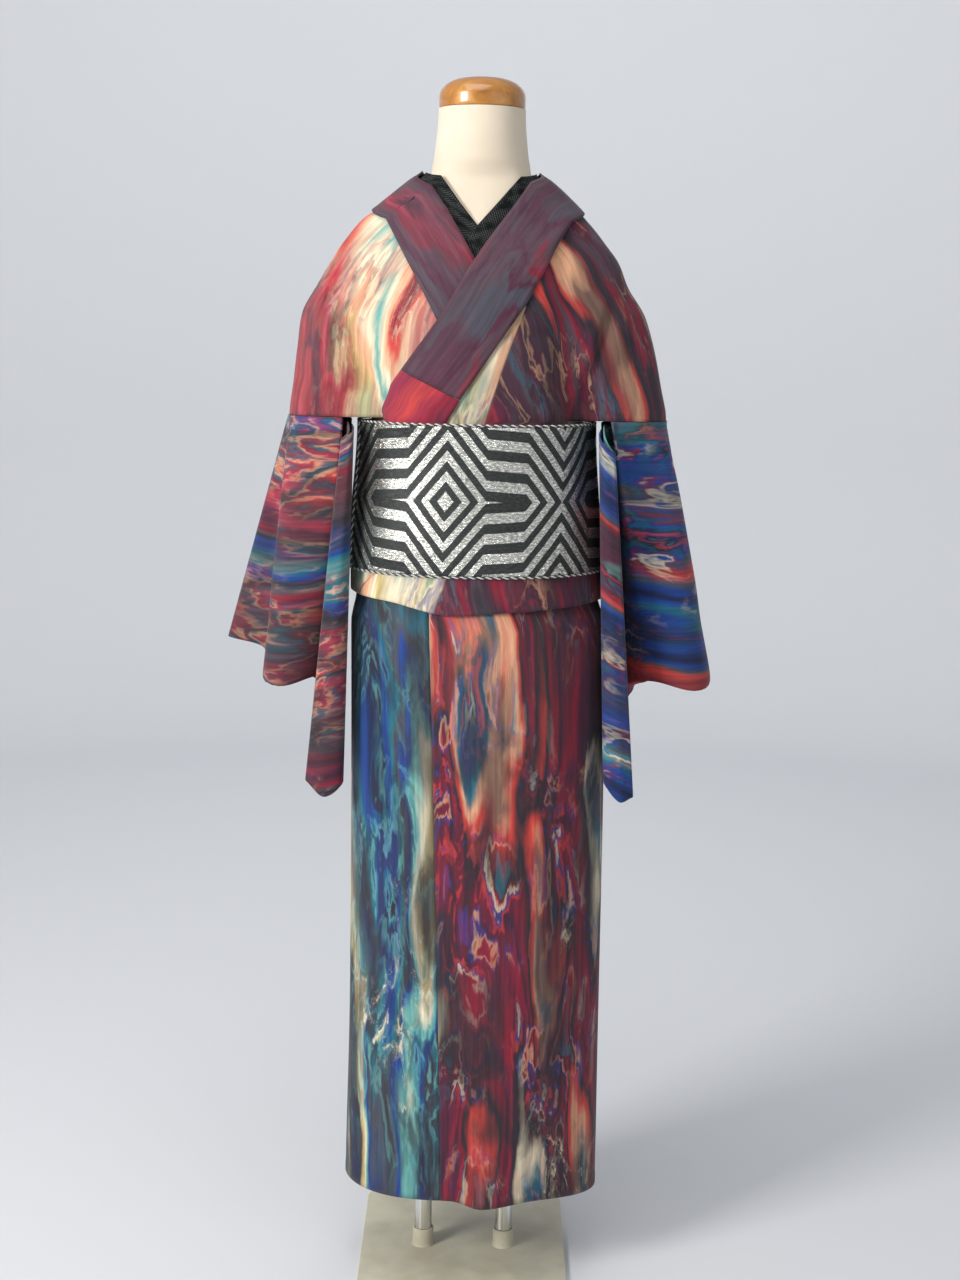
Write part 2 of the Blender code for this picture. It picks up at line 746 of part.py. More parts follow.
def skirt(finishes: dict[str, bpy.types.Material]) -> None:
    """Six panels wrapped left over right, each a seam's gap from the next."""
    gap = math.degrees(SEAM / 0.16)
    right_seam_x = 0.050
    inner_edge = 28.0
    outer_edge = 176.0

    def wrap_out(degrees: float) -> float:
        return SKIRT_WRAP_OUT * ease((degrees - 1.0) / 18.0)

    def left_seam(z: float) -> float:
        return angle_at(read(SKIRT_SEAM, z, "x"), z, False)

    def right_seam(z: float) -> float:
        return angle_at(right_seam_x, z, False)

    skirt_panel("skirt_left_front", lambda z: gap, lambda z: left_seam(z) - gap / 2, wrap_out, 11, finishes["front"])
    skirt_panel("skirt_left_overlap", lambda z: left_seam(z) + gap / 2, lambda z: outer_edge, wrap_out, 6,
                finishes["overlap"])
    skirt_panel("skirt_right_front", lambda z: 180.0 - gap, lambda z: right_seam(z) + gap / 2, lambda a: 0.0, 10,
                finishes["front"])
    skirt_panel("skirt_right_overlap", lambda z: right_seam(z) - gap / 2, lambda z: inner_edge, lambda a: 0.0, 4,
                finishes["overlap"])
    skirt_panel("skirt_back_left", lambda z: -gap, lambda z: -90.0 + gap / 2, lambda a: 0.0, 7, finishes["back"])
    skirt_panel("skirt_back_right", lambda z: 180.0 + gap, lambda z: 270.0 - gap / 2, lambda a: 0.0, 7,
                finishes["back"])


# Sleeves


def spline(values: Sequence[float], place: float) -> float:
    """A smooth value between the entries of a list."""
    low = min(int(place), len(values) - 2)
    share = place - low
    a, b = values[low], values[low + 1]
    before = values[low - 1] if low > 0 else 2 * a - b
    after = values[low + 2] if low + 2 < len(values) else 2 * b - a
    start, end = (b - before) / 2, (after - a) / 2
    return a + share * (start + share * (3 * (b - a) - 2 * start - end + share * (start + end - 2 * (b - a))))


def fold_value(folds: Sequence[Fold], column: str, place: float) -> float:
    """A column of a sleeve's fold table between two fold lines."""
    return spline([getattr(fold, column) for fold in folds], place)


def sleeve_top(folds: Sequence[Fold], side: int, place: float, layer: int) -> Vector:
    """A point of a sleeve's upper edge: round the armhole, then down its open inner edge."""
    angles = FRONT_ARMHOLE if layer < 0 else BACK_ARMHOLE
    if place <= len(angles) - 1:
        degrees = -layer * spline(angles, place)
        top = ring_point(ARMHOLE_Z, degrees if side > 0 else 180.0 - degrees, True)
        return Vector((top.x, top.y, ARMHOLE_Z - ARMHOLE_GAP))
    name = "front" if layer < 0 else "back"
    x, y, z = (fold_value(folds, column, place) for column in (f"{name}_x", f"{name}_y", "top_z"))
    return Vector((side * x, y, z))


def sleeve_low(folds: Sequence[Fold], side: int, place: float, layer: int) -> Vector:
    """A point of a sleeve's lower edge, beside the middle line of its folds."""
    step = 0.05
    x, y, z, gap = (fold_value(folds, column, place) for column in ("low_x", "low_y", "low_z", "low_gap"))
    after, before = min(place + step, len(folds) - 1), max(place - step, 0)
    along = Vector((
        fold_value(folds, "low_x", after) - fold_value(folds, "low_x", before),
        fold_value(folds, "low_y", after) - fold_value(folds, "low_y", before),
        0,
    )).normalized()
    return Vector((side * (x + along.y * layer * gap), y - along.x * layer * gap, z))


def fold_edge(points: Sequence[Vector], inward: Sequence[Vector], gap: float) -> list[Vector]:
    """The line that joins two layers, a little past their last points."""
    return [p + (p - q).normalized() * gap for p, q in zip(points, inward)]


def sleeve(name: str, folds: Sequence[Fold], side: int, finish: bpy.types.Material) -> bpy.types.Object:
    """A sleeve: two layers joined at the shoulder fold and the far edge, and closed below past the cuff."""
    last = (len(folds) - 1) * STEPS_PER_FOLD
    cuff = CUFF_FOLDS * STEPS_PER_FOLD
    shares = [j / SLEEVE_ROWS for j in range(SLEEVE_ROWS + 1)]
    layers = {}
    for layer in (-1, 1):
        columns = []
        for i in range(last + 1):
            place = i / STEPS_PER_FOLD
            top, low = sleeve_top(folds, side, place, layer), sleeve_low(folds, side, place, layer)
            columns.append([top.lerp(low, share) for share in shares])
        layers[layer] = columns
    middle = [[(a + b) / 2 for a, b in zip(front, back)] for front, back in zip(layers[-1], layers[1])]
    first_edge = fold_edge(middle[0], middle[1], EDGE_ROUND)
    last_edge = fold_edge(middle[-1], middle[-2], EDGE_ROUND)
    work = bmesh.new()
    shared = [[work.verts.new(p) for p in edge] for edge in (first_edge, last_edge)]
    grids = {}
    for layer, columns in layers.items():
        made = [[work.verts.new(p) for p in column] for column in columns]
        grids[layer] = [shared[0], *made, shared[1]]
    low_edge = [columns[-1].co for columns in grids[-1][cuff:]]
    other_edge = [columns[-1].co for columns in grids[1][cuff:]]
    seam = [work.verts.new((a + b) / 2 - Vector((0, 0, EDGE_ROUND))) for a, b in zip(low_edge, other_edge)]
    for grid in grids.values():
        for before, after in zip(grid, grid[1:]):
            for j in range(SLEEVE_ROWS):
                work.faces.new((before[j], after[j], after[j + 1], before[j + 1]))
        for k, (before, after) in enumerate(zip(grid[cuff:], grid[cuff + 1:])):
            work.faces.new((before[-1], after[-1], seam[k + 1], seam[k]))
    bmesh.ops.recalc_face_normals(work, faces=work.faces)
    mesh = bpy.data.meshes.new(name)
    work.to_mesh(mesh)
    work.free()
    obj = add_object(name, mesh, finish)
    thicken(obj, CLOTH)
    return obj


# Obi

OBI_COLUMNS = 48
OBI_ROWS = 4
OBI_END_ANGLE = 163.0
CORD_SIDES = 5


def obi_out(z: float, degrees: float) -> float:
    """How far the obi's middle stands out from the robe's innermost layer."""
    in_front = ease((math.sin(math.radians(degrees)) - 0.35) / 0.35)
    top = mix(OBI_SIDE_OUT, OBI_FRONT_OUT, in_front)
    return mix(OBI_LOW_OUT, top, ease((z - OBI_LOW) / (OBI_TOP - OBI_LOW)))


def obi_point(z: float, degrees: float, extra: float = 0.0) -> Vector:
    """A point on the obi's middle surface, or a distance out from it."""
    return drape(z, degrees, obi_out(z, degrees) + extra)


def obi(finish: bpy.types.Material, cord_finish: bpy.types.Material) -> None:
    """The belt, its two edge cords and the flat knot behind."""
    rows = []
    for i in range(OBI_ROWS + 1):
        z = mix(OBI_LOW, OBI_TOP, i / OBI_ROWS)
        rows.append([obi_point(z, 360.0 * j / OBI_COLUMNS) for j in range(OBI_COLUMNS)])
    sheet("obi_band", rows, OBI_CLOTH, finish, closed=True)
    past_edge = CORD / 2 + SEAM
    edge_cord("obi_cord_top", OBI_TOP + past_edge, cord_finish)
    edge_cord("obi_cord_low", OBI_LOW - past_edge, cord_finish)
    end_cord(cord_finish)


def cord_ring(centre: Vector, outward: Vector, across: Vector) -> list[Vector]:
    """The points of a cord's round section."""
    turns = [2 * math.pi * k / CORD_SIDES for k in range(CORD_SIDES)]
    return [centre + (outward * math.cos(turn) + across * math.sin(turn)) * CORD / 2 for turn in turns]


def edge_cord(name: str, z: float, finish: bpy.types.Material) -> None:
    """A cord that runs round the obi along one of its edges."""
    work = bmesh.new()
    rings = []
    for j in range(OBI_COLUMNS):
        degrees = 360.0 * j / OBI_COLUMNS
        centre = obi_point(z, degrees)
        outward = (obi_point(z, degrees, CORD) - centre).normalized()
        rings.append([work.verts.new(p) for p in cord_ring(centre, outward, Vector((0, 0, 1)))])
    for j in range(OBI_COLUMNS):
        here, after = rings[j], rings[(j + 1) % OBI_COLUMNS]
        for k in range(CORD_SIDES):
            work.faces.new((here[k], here[(k + 1) % CORD_SIDES], after[(k + 1) % CORD_SIDES], after[k]))
    bmesh.ops.recalc_face_normals(work, faces=work.faces)
    mesh = bpy.data.meshes.new(name)
    work.to_mesh(mesh)
    work.free()
    add_object(name, mesh, finish)


def end_cord(finish: bpy.types.Material) -> None:
    """The cord down the obi's outer end, at the wearer's right side."""
    seat = OBI_CLOTH / 2 + CORD / 2 + SEAM
    rings = []
    for i in range(OBI_ROWS * 2 + 1):
        z = mix(OBI_LOW, OBI_TOP, i / (OBI_ROWS * 2))
        centre = obi_point(z, OBI_END_ANGLE, seat)
        outward = (centre - obi_point(z, OBI_END_ANGLE)).normalized()
        rings.append(cord_ring(centre, outward, outward.cross(Vector((0, 0, 1))).normalized()))
    solid_of_rings("obi_cord_end", rings, finish)


class Flap(NamedTuple):
    """A four-cornered length of belt in the knot: corners by angle and height, and how far out it lies."""

    name: str
    corners: tuple[tuple[float, float], ...]
    extra: float


KNOT = (
    Flap("obi_knot_tail", ((228.0, 0.985), (266.0, 0.972), (306.0, 1.100), (268.0, 1.113)), 0.0052),
    Flap("obi_knot_end", ((262.0, 1.015), (302.0, 1.028), (276.0, 1.190), (236.0, 1.177)), 0.0118),
)
FLAP_STEPS = 6
KNOT_WALL = 0.006


def knot(finish: bpy.types.Material) -> None:
    """The flat knot: two folded lengths of belt laid over each other at the back."""
    for flap in KNOT:
        rows = []
        for i in range(FLAP_STEPS + 1):
            row = []
            for j in range(FLAP_STEPS + 1):
                u, v = i / FLAP_STEPS, j / FLAP_STEPS
                first, second, third, fourth = flap.corners
                degrees = mix(mix(first[0], second[0], u), mix(fourth[0], third[0], u), v)
                z = mix(mix(first[1], second[1], u), mix(fourth[1], third[1], u), v)
                row.append(obi_point(min(z, OBI_TOP), degrees, flap.extra) + Vector((0, 0, max(z - OBI_TOP, 0))))
            rows.append(row)
        sheet(flap.name, rows, KNOT_WALL, finish)


# Form and stand


def form_point(z: float, degrees: float) -> Vector:
    """A point of the form, just inside the cloth where the cloth rests on it."""
    angle = math.radians(degrees)
    side = "front" if math.sin(angle) >= 0 else "back"
    own = oval(read(FORM, z, "half_width"), read(FORM, z, side), 2.0, angle)
    clear = mix(WAIST_CLEAR, SHOULDER_CLEAR, ease((z - ARMHOLE_Z) / 0.100))
    clear = mix(clear, NECK_CLEAR, ease((z - NECK_SLOPE_Z) / 0.030))
    shift = read(FORM, z, "shift")
    if z <= TORSO[-1].z:
        lining = ring_point(z, degrees, z > ARMHOLE_Z)
        own = min(own, math.hypot(lining.x - shift, lining.y) - clear)
    return Vector((shift + own * math.cos(angle), -own * math.sin(angle), z))


def form(finish: bpy.types.Material) -> None:
    """The limbless torso and neck."""
    segments = 28
    levels = (0.800, 0.900, 1.000, 1.140, 1.200, 1.260, 1.305, 1.340, 1.368, 1.392, 1.410, 1.425, 1.440, 1.455,
              1.480, NECK_TOP)
    rings = [[form_point(z, 360.0 * i / segments) for i in range(segments)] for z in levels]
    solid_of_rings("form_torso", rings, finish)


def turned(name: str, profile: Sequence[tuple[float, float]], x: float, segments: int, finish) -> None:
    """A turned solid on a vertical axis, from radii and heights."""
    turns = [2 * math.pi * i / segments for i in range(segments)]
    rings = [[Vector((x + r * math.cos(turn), r * math.sin(turn), z)) for turn in turns] for r, z in profile]
    solid_of_rings(name, rings, finish)


def neck_cap(finish: bpy.types.Material) -> None:
    """The turned wooden cap on the neck."""
    base = NECK_TOP + SEAM
    dome = CAP_TOP - base - 0.014
    profile = [(0.0535, base), (0.0545, base + 0.003), (0.0545, base + 0.012)]
    for step in range(1, 5):
        angle = math.radians(20.0 * step)
        profile.append((0.0175 + 0.037 * math.cos(angle), base + 0.014 + dome * math.sin(angle)))
    profile.append((0.0100, CAP_TOP))
    turned("neck_cap", profile, 0.0, 28, finish)


def stand(paint: bpy.types.Material, steel: bpy.types.Material) -> None:
    """The base plate, its two sockets and the two tubes up to the form."""
    wide, deep, thick = PLATE
    corners = []
    steps = 4
    for quarter in range(4):
        centre_x = (wide / 2 - PLATE_CORNER) * (1 if quarter in (0, 3) else -1)
        centre_y = (deep / 2 - PLATE_CORNER) * (1 if quarter in (0, 1) else -1)
        for i in range(steps + 1):
            angle = math.radians(90.0 * (quarter + i / steps))
            corners.append((centre_x + PLATE_CORNER * math.cos(angle), centre_y + PLATE_CORNER * math.sin(angle)))
    rings = [[Vector((x, y, z)) for x, y in corners] for z in (0.0, thick)]
    solid_of_rings("stand_plate", rings, paint)
    socket_top = thick + SEAM + SOCKET_HEIGHT
    bore = TUBE_RADIUS + SEAM
    for name, side in (("left", 1), ("right", -1)):
        x = side * TUBE_X
        socket(f"stand_socket_{name}", x, bore, thick + SEAM, socket_top, paint)
        profile = [(TUBE_RADIUS, thick + SEAM), (TUBE_RADIUS, FORM_LOW - SEAM)]
        turned(f"stand_tube_{name}", profile, x, 16, steel)


def socket(name: str, x: float, bore: float, low: float, top: float, finish: bpy.types.Material) -> None:
    """A round collar that holds a tube's foot."""
    segments = 16
    bevel = 0.0012
    profile = ((SOCKET_RADIUS, low), (SOCKET_RADIUS, top - bevel), (SOCKET_RADIUS - bevel, top), (bore, top),
               (bore, low))
    work = bmesh.new()
    rings = []
    for ring_radius, z in profile:
        rings.append([
            work.verts.new((
                x + ring_radius * math.cos(2 * math.pi * i / segments),
                ring_radius * math.sin(2 * math.pi * i / segments),
                z,
            ))
            for i in range(segments)
        ])
    for k, ring in enumerate(rings):
        after = rings[(k + 1) % len(rings)]
        for i in range(segments):
            work.faces.new((ring[i], ring[(i + 1) % segments], after[(i + 1) % segments], after[i]))
    bmesh.ops.recalc_face_normals(work, faces=work.faces)
    mesh = bpy.data.meshes.new(name)
    work.to_mesh(mesh)
    work.free()
    add_object(name, mesh, finish)


def clear_scene() -> None:
    """Removes what a new file starts with."""
    for obj in list(bpy.data.objects):
        bpy.data.objects.remove(obj, do_unlink=True)


def main() -> None:
    """Builds every sub-part."""
    clear_scene()
    plum = material("plum_cloth", (0.16, 0.08, 0.12), 0.8)
    blue = material("blue_cloth", (0.05, 0.15, 0.42), 0.8)
    crimson = material("crimson_cloth", (0.36, 0.05, 0.09), 0.8)
    cream = material("cream_cloth", (0.72, 0.64, 0.50), 0.8)
    black = material("black_cloth", (0.02, 0.02, 0.022), 0.7)
    silver = material("silver_cloth", (0.35, 0.35, 0.33), 0.4, 0.6)
    calico = material("form_cloth", (0.80, 0.72, 0.60), 0.9)
    honey = material("honey_wood", (0.42, 0.17, 0.03), 0.25)
    paint = material("khaki_paint", (0.52, 0.48, 0.36), 0.45)
    steel = material("steel_tube", (0.75, 0.75, 0.74), 0.2, 1.0)

    stand(paint, steel)
    form(calico)
    neck_cap(honey)
    body_length("body_left_upper", True, crimson)
    body_length("body_right_upper", False, cream)
    upper_overlap(cream)
    sheet("collar_left_lower", collar_rows(LEFT_COLLAR), COLLAR_CLOTH, crimson)
    round_collar("collar_cover", LEFT_COVER, RIGHT_COVER, LEFT_COVER_BACK, COLLAR_CLOTH, plum)
    round_collar("false_collar", FALSE_LEFT, FALSE_RIGHT, FALSE_BACK, FALSE_COLLAR_CLOTH, black)
    skirt({"front": crimson, "overlap": blue, "back": blue})
    sleeve("sleeve_right", RIGHT_SLEEVE, -1, plum)
    sleeve("sleeve_left", LEFT_SLEEVE, 1, blue)
    obi(silver, black)
    knot(silver)


if __name__ == "__main__":
    main()
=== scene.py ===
"""The looks of a cotton yukata, tied with its obi, on a limbless dress form with a tubular stand.

Everything is in metres, +Z up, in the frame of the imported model. The robe faces -Y and +X is the
wearer's left. Angles run round the body: 0 at +X, 90 at the front, 180 at -X and 270 at the back.
"""

import logging
import math
from dataclasses import dataclass, replace
from enum import Enum
from typing import Callable, NamedTuple, Sequence

import bmesh
import bpy
import numpy as np
from bpy.types import Material, Node, NodeSocket, Object
from mathutils import Matrix, Vector


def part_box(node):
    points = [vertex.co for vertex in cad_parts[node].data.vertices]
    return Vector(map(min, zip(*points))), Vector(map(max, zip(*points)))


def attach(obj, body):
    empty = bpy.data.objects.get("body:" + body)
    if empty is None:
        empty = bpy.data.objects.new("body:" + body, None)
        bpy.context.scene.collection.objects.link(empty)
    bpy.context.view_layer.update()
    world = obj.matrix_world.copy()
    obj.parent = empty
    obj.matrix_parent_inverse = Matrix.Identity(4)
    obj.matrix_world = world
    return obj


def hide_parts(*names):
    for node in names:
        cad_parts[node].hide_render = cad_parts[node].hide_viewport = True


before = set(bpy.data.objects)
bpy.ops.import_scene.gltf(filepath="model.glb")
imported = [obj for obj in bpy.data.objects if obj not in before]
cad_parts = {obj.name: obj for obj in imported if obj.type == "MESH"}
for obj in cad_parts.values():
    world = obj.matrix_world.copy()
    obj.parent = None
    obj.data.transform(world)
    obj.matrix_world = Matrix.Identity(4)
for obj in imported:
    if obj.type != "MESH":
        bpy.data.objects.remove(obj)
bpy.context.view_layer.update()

log = logging.getLogger("yukata")

# Walls and gaps
CLOTH = 0.0014
COLLAR_CLOTH = 0.0019
FALSE_COLLAR_CLOTH = 0.0009
OBI_CLOTH = 0.0028
KNOT_WALL = 0.0058
CORD = 0.0034
SEAM = 0.0003

# Levels
ARMHOLE_Z = 1.1480
OBI_TOP = 1.1410
OBI_LOW = 0.9570
NECK_TOP = 1.5330
CAP_TOP = 1.5710

# How far each layer's middle stands out from the robe's innermost layer
BACK_COLLAR_OUT = 0.0038
RIGHT_COLLAR_OUT = 0.0036
LEFT_FRONT_OUT = 0.0070
LEFT_COLLAR_OUT = 0.0104
FALSE_LEFT_OUT = -0.0014
FALSE_RIGHT_OUT = -0.0032
SKIRT_WRAP_OUT = 0.0036
TUCK_INNER_OUT = 0.0078
TUCK_OUTER_OUT = 0.0112
TUCK_LEFT_STEP = 0.0008
UNDER_RIGHT_OUT = 0.0068
OBI_SIDE_OUT = 0.0080
OBI_FRONT_OUT = 0.0150
OBI_LOW_OUT = 0.0156

# The body's rough radius where creases and seams are measured
UPPER_REACH = 0.19
SKIRT_REACH = 0.16

TORSO_POWER = 2.2
CAPE_POWER = 3.0
BLEND_POWER = 20.0


class Section(NamedTuple):
    """A level section of the draped body."""

    z: float
    half_width: float
    front: float
    back: float
    shift: float


class Cape(NamedTuple):
    """A level section of the cloth that hangs past the form's shoulders."""

    z: float
    reach: float
    front: float
    back: float
    shift: float


class ArmFold(NamedTuple):
    """The fold between chest and arm at a level: its angle from the side, and its depth."""

    z: float
    angle: float
    depth: float


class At(NamedTuple):
    """A place across the front, at a level."""

    z: float
    x: float


class Around(NamedTuple):
    """A height at an angle round the body."""

    angle: float
    z: float


class Station(NamedTuple):
    """A cross line of a collar: its edge at the neck and its outer edge, and how far out it lies."""

    inner_x: float
    inner_z: float
    outer_x: float
    outer_z: float
    out: float


class BackStation(NamedTuple):
    """A cross line of a collar behind the shoulder, by angle."""

    angle: float
    inner_z: float
    outer_z: float
    out: float


class Fold(NamedTuple):
    """A fold line of a sleeve, by distance from the body's middle: where its front and back layers
    start, and where its middle line ends with half the gap between the layers."""

    front_x: float
    front_y: float
    back_x: float
    back_y: float
    top_z: float
    low_x: float
    low_y: float
    low_z: float
    low_gap: float


class Crease(NamedTuple):
    """A soft trough or ridge, from one place to another, with its bow sideways, width and height."""

    start: tuple[float, float]
    end: tuple[float, float]
    width: float
    height: float
    bow: float = 0.0


TORSO = (
    Section(0.100, 0.1690, 0.1270, 0.1240, 0.0100),
    Section(0.360, 0.1660, 0.1260, 0.1250, 0.0110),
    Section(0.640, 0.1650, 0.1270, 0.1280, 0.0100),
    Section(0.880, 0.1640, 0.1270, 0.1280, 0.0075),
    Section(0.920, 0.1545, 0.1230, 0.1220, 0.0050),
    Section(0.953, 0.1515, 0.1200, 0.1180, 0.0020),
    Section(1.050, 0.1470, 0.1190, 0.1110, 0.0000),
    Section(1.148, 0.1450, 0.1190, 0.1060, 0.0000),
    Section(1.235, 0.1480, 0.1165, 0.1080, 0.0000),
    Section(1.300, 0.1500, 0.1120, 0.1110, -0.0020),
    Section(1.345, 0.1480, 0.0990, 0.1110, -0.0040),
    Section(1.390, 0.1200, 0.0800, 0.1060, -0.0030),
    Section(1.425, 0.0900, 0.0690, 0.0950, 0.0000),
    Section(1.455, 0.0680, 0.0620, 0.0860, 0.0000),
)
CAPE = (
    Cape(1.148, 0.2420, 0.0780, 0.0840, 0.0010),
    Cape(1.190, 0.2355, 0.0810, 0.0860, -0.0004),
    Cape(1.235, 0.2282, 0.0830, 0.0870, -0.0027),
    Cape(1.276, 0.2190, 0.0830, 0.0860, -0.0060),
    Cape(1.314, 0.1970, 0.0810, 0.0830, -0.0075),
    Cape(1.346, 0.1805, 0.0780, 0.0800, -0.0050),
    Cape(1.369, 0.1640, 0.0720, 0.0760, -0.0060),
    Cape(1.393, 0.1440, 0.0660, 0.0720, -0.0060),
    Cape(1.409, 0.1250, 0.0620, 0.0700, -0.0020),
    Cape(1.440, 0.0880, 0.0560, 0.0620, 0.0000),
    Cape(1.455, 0.0690, 0.0540, 0.0580, 0.0000),
)
LEFT_ARM_FOLD = (
    ArmFold(1.148, 27.5, 0.0160),
    ArmFold(1.190, 22.5, 0.0190),
    ArmFold(1.235, 19.0, 0.0150),
    ArmFold(1.280, 18.0, 0.0080),
    ArmFold(1.330, 18.0, 0.0000),
)
RIGHT_ARM_FOLD = (
    ArmFold(1.148, 31.0, 0.0130),
    ArmFold(1.190, 26.0, 0.0130),
    ArmFold(1.235, 22.0, 0.0100),
    ArmFold(1.280, 20.0, 0.0045),
    ArmFold(1.330, 20.0, 0.0000),
)
ARM_FOLD_WIDTH = 6.5

# Where the body lengths end at the front, under the collars and along the overlap panel's seam
LEFT_EDGE = (
    At(0.905, -0.0460),
    At(0.955, -0.0330),
    At(1.148, 0.0116),
    At(1.294, 0.0590),
    At(1.357, 0.0850),
    At(1.392, 0.0990),
    At(1.418, 0.0900),
)
RIGHT_EDGE = (
    At(0.905, -0.1400),
    At(0.920, -0.1345),
    At(0.960, -0.1085),
    At(0.985, -0.1075),
    At(1.040, -0.0500),
    At(1.148, 0.0150),
    At(1.200, -0.0040),
    At(1.270, -0.0440),
    At(1.336, -0.0780),
    At(1.392, -0.1010),
    At(1.418, -0.0920),
)
OVERLAP_FREE_EDGE = (
    At(0.905, -0.1385),
    At(0.920, -0.1330),
    At(0.960, -0.1070),
    At(1.050, -0.0850),
    At(1.150, -0.0420),
    At(1.241, 0.0140),
    At(1.294, 0.0500),
)
SKIRT_SEAM = (At(0.100, -0.0300), At(0.400, -0.0370), At(0.670, -0.0457), At(1.000, -0.0560))
TUCK_LOW = (
    Around(-90.0, 0.915),
    Around(0.0, 0.918),
    Around(70.0, 0.911),
    Around(105.0, 0.906),
    Around(140.0, 0.9195),
    Around(180.0, 0.924),
    Around(270.0, 0.915),
)
HEM = (
    Around(-90.0, 0.118),
    Around(0.0, 0.112),
    Around(55.0, 0.127),
    Around(84.0, 0.119),
    Around(102.0, 0.130),
    Around(140.0, 0.125),
    Around(180.0, 0.121),
    Around(270.0, 0.118),
)
LEFT_COLLAR = (
    Station(-0.1120, 1.1500, -0.0560, 1.1100, LEFT_COLLAR_OUT),
    Station(-0.1020, 1.1900, -0.0330, 1.1500, LEFT_COLLAR_OUT),
    Station(-0.0900, 1.2080, -0.0205, 1.1725, LEFT_COLLAR_OUT),
)
LEFT_COVER = (
    Station(-0.0898, 1.2085, -0.0202, 1.1730, LEFT_COLLAR_OUT),
    Station(-0.0450, 1.2750, 0.0235, 1.2410, LEFT_COLLAR_OUT),
    Station(-0.0090, 1.3360, 0.0570, 1.2920, LEFT_COLLAR_OUT),
    Station(0.0310, 1.3960, 0.0920, 1.3570, 0.0080),
    Station(0.0600, 1.4390, 0.1130, 1.3920, 0.0046),
)
RIGHT_COVER = (
    Station(0.0770, 1.2000, -0.0120, 1.1990, RIGHT_COLLAR_OUT),
    Station(0.0330, 1.2760, -0.0300, 1.2320, RIGHT_COLLAR_OUT),
    Station(-0.0120, 1.3550, -0.0720, 1.3120, RIGHT_COLLAR_OUT),
    Station(-0.0400, 1.4040, -0.1020, 1.3660, RIGHT_COLLAR_OUT),
    Station(-0.0590, 1.4330, -0.1160, 1.3920, RIGHT_COLLAR_OUT),
)
COVER_BACK = (
    BackStation(0.0, 1.4560, 1.4100, BACK_COLLAR_OUT),
    BackStation(-15.0, 1.4545, 1.4080, BACK_COLLAR_OUT),
    BackStation(-30.0, 1.4530, 1.4050, BACK_COLLAR_OUT),
    BackStation(-60.0, 1.4470, 1.3930, BACK_COLLAR_OUT),
    BackStation(-90.0, 1.4440, 1.3860, BACK_COLLAR_OUT),
)
FALSE_LEFT = (
    Station(-0.0310, 1.3450, 0.0120, 1.3300, FALSE_LEFT_OUT),
    Station(-0.0030, 1.3870, 0.0320, 1.3640, FALSE_LEFT_OUT),
    Station(0.0260, 1.4200, 0.0500, 1.3900, FALSE_LEFT_OUT),
    Station(0.0500, 1.4480, 0.0700, 1.4150, FALSE_LEFT_OUT),
)
FALSE_RIGHT = (
    Station(0.0240, 1.3500, -0.0120, 1.3280, FALSE_RIGHT_OUT),
    Station(-0.0030, 1.3870, -0.0340, 1.3600, FALSE_RIGHT_OUT),
    Station(-0.0280, 1.4180, -0.0520, 1.3900, FALSE_RIGHT_OUT),
    Station(-0.0500, 1.4480, -0.0700, 1.4150, FALSE_LEFT_OUT),
)
FALSE_BACK = (
    BackStation(0.0, 1.4550, 1.4270, FALSE_LEFT_OUT),
    BackStation(-30.0, 1.4560, 1.4280, FALSE_LEFT_OUT),
    BackStation(-60.0, 1.4530, 1.4250, FALSE_LEFT_OUT),
    BackStation(-90.0, 1.4500, 1.4220, FALSE_LEFT_OUT),
)
FRONT_ARMHOLE = (1.5, 5.0, 10.0, 21.0)
BACK_ARMHOLE = (1.5, 5.0, 10.0, 18.0)
RIGHT_SLEEVE = (
    Fold(0.241, -0.006, 0.241, 0.006, 1.147, 0.322, 0.015, 0.852, 0.003),
    Fold(0.238, -0.020, 0.238, 0.020, 1.147, 0.268, 0.006, 0.838, 0.010),
    Fold(0.230, -0.041, 0.230, 0.041, 1.147, 0.250, -0.026, 0.799, 0.022),
    Fold(0.173, -0.067, 0.197, 0.064, 1.147, 0.212, -0.022, 0.810, 0.016),
    Fold(0.174, -0.052, 0.191, 0.062, 1.146, 0.197, 0.012, 0.795, 0.006),
    Fold(0.180, -0.040, 0.180, 0.055, 1.145, 0.200, 0.052, 0.780, 0.003),
    Fold(0.172, -0.030, 0.170, 0.038, 1.144, 0.191, 0.058, 0.750, 0.003),
    Fold(0.164, -0.045, 0.163, 0.010, 1.143, 0.188, 0.015, 0.725, 0.003),
    Fold(0.162, -0.068, 0.162, -0.030, 1.141, 0.184, -0.035, 0.705, 0.003),
    Fold(0.159, -0.084, 0.1545, -0.078, 1.136, 0.168, -0.076, 0.680, 0.003),
    Fold(0.160, -0.090, 0.155, -0.097, 1.130, 0.189, -0.086, 0.664, 0.003),
    Fold(0.166, -0.092, 0.166, -0.098, 1.124, 0.211, -0.080, 0.682, 0.003),
)
